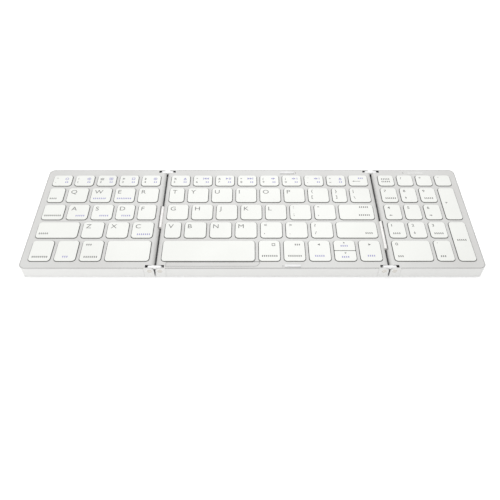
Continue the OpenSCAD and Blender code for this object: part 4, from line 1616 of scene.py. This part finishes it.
@dataclass(frozen=True)
class Lamp:
    """One soft studio lamp, aimed at the keyboard."""

    name: str
    place: tuple[float, float, float]
    size: float
    watts: float

    def build(self) -> None:
        """Hangs the lamp, facing the middle of the keyboard."""
        light = bpy.data.lights.new(self.name, "AREA")
        light.shape = "SQUARE"
        light.size = self.size
        light.energy = self.watts
        hang(self.name, light, Vector(self.place), Vector((0.0, 0.0, 0.0)))


@dataclass
class Studio:
    """Pale floor, even light and the camera at the photograph's place."""

    camera_place: tuple[float, float, float] = (-0.00164, -0.27499, 0.30449)
    camera_aim: tuple[float, float, float] = (-0.00152, -0.03255, 0.0104)
    lens_mm: float = 39.65
    sensor_mm: float = 36.0
    floor_size: float = 6.0
    floor_colour: str = "#e9e9e9"
    floor_glow: float = 0.42
    world_level: float = 0.72
    lamps: tuple[Lamp, ...] = (
        Lamp("rear_softbox", (0.02, 0.62, 0.82), 0.6, 3.0),
        Lamp("front_softbox", (-0.2, -0.9, 0.8), 0.9, 1.4),
        Lamp("low_softbox", (-0.6, -0.55, 0.2), 0.4, 1.1),
    )

    def build(self) -> None:
        """Builds the world, floor, lamps and camera."""
        bpy.context.scene.view_settings.view_transform = "Standard"
        self._world()
        self._floor()
        for lamp in self.lamps:
            lamp.build()
        self._camera()
        LOG.info("studio ready")

    def _white_to_eye(self, tree: bpy.types.NodeTree, lit: Any, white: Any) -> Any:
        """Mixes a lit shader with plain white for what the eye sees directly, mirrored or through glass.

        Args:
            tree: the tree.
            lit: the shader that lights the object.
            white: the white emission.

        Returns:
            The mixed shader.
        """
        rays = add_node(tree, "ShaderNodeLightPath")
        seen = rays.outputs["Is Camera Ray"]
        for name in ("Is Glossy Ray", "Is Transmission Ray"):
            either = add_node(tree, "ShaderNodeMath", {0: seen, 1: rays.outputs[name]}, operation="MAXIMUM")
            seen = either.outputs[0]
        return add_node(tree, "ShaderNodeMixShader", {0: seen, 1: lit, 2: white}).outputs[0]

    def _world(self) -> None:
        """Lights the scene evenly from all round, with a white backdrop."""
        world = bpy.data.worlds.new("studio")
        world.use_nodes = True
        tree = world.node_tree
        tree.nodes.clear()
        lit = add_node(tree, "ShaderNodeBackground", {"Color": WHITE, "Strength": self.world_level})
        white = add_node(tree, "ShaderNodeBackground", {"Color": WHITE, "Strength": 1.0})
        mixed = self._white_to_eye(tree, lit.outputs[0], white.outputs[0])
        add_node(tree, "ShaderNodeOutputWorld", {"Surface": mixed})
        bpy.context.scene.world = world

    def _floor(self) -> None:
        """Lays a pale floor that keeps the shadow under the keyboard."""
        half = self.floor_size / 2
        mesh = bpy.data.meshes.new("floor")
        corners = [(-half, -half, 0.0), (half, -half, 0.0), (half, half, 0.0), (-half, half, 0.0)]
        mesh.from_pydata(corners, [], [(0, 1, 2, 3)])
        material = bpy.data.materials.new("floor_paper")
        material.use_nodes = True
        tree = material.node_tree
        tree.nodes.clear()
        paper = add_node(tree, "ShaderNodeBsdfDiffuse", {"Color": linear(self.floor_colour)})
        glow = add_node(tree, "ShaderNodeEmission", {"Color": WHITE, "Strength": self.floor_glow})
        both = add_node(tree, "ShaderNodeAddShader", {0: paper.outputs[0], 1: glow.outputs[0]})
        mixed = self._white_to_eye(tree, paper.outputs[0], both.outputs[0])
        add_node(tree, "ShaderNodeOutputMaterial", {"Surface": mixed})
        place_mesh(mesh, "floor", material)

    def _camera(self) -> None:
        """Sets the camera where the photograph was taken from."""
        data = bpy.data.cameras.new("camera")
        data.lens = self.lens_mm
        data.sensor_width = self.sensor_mm
        data.sensor_fit = "HORIZONTAL"
        bpy.context.scene.camera = hang("camera", data, Vector(self.camera_place), Vector(self.camera_aim))


def main() -> None:
    """Builds the dressed keyboard and its studio."""
    logging.basicConfig(level=logging.INFO, format="%(name)s: %(message)s")
    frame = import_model()
    finishes = Finishes(frame)
    KeyCaps(frame, finishes).build()
    GivingParts(frame, finishes).build()
    PlainForms(frame, finishes).build()
    Studio().build()


if __name__ == "__main__":
    main()
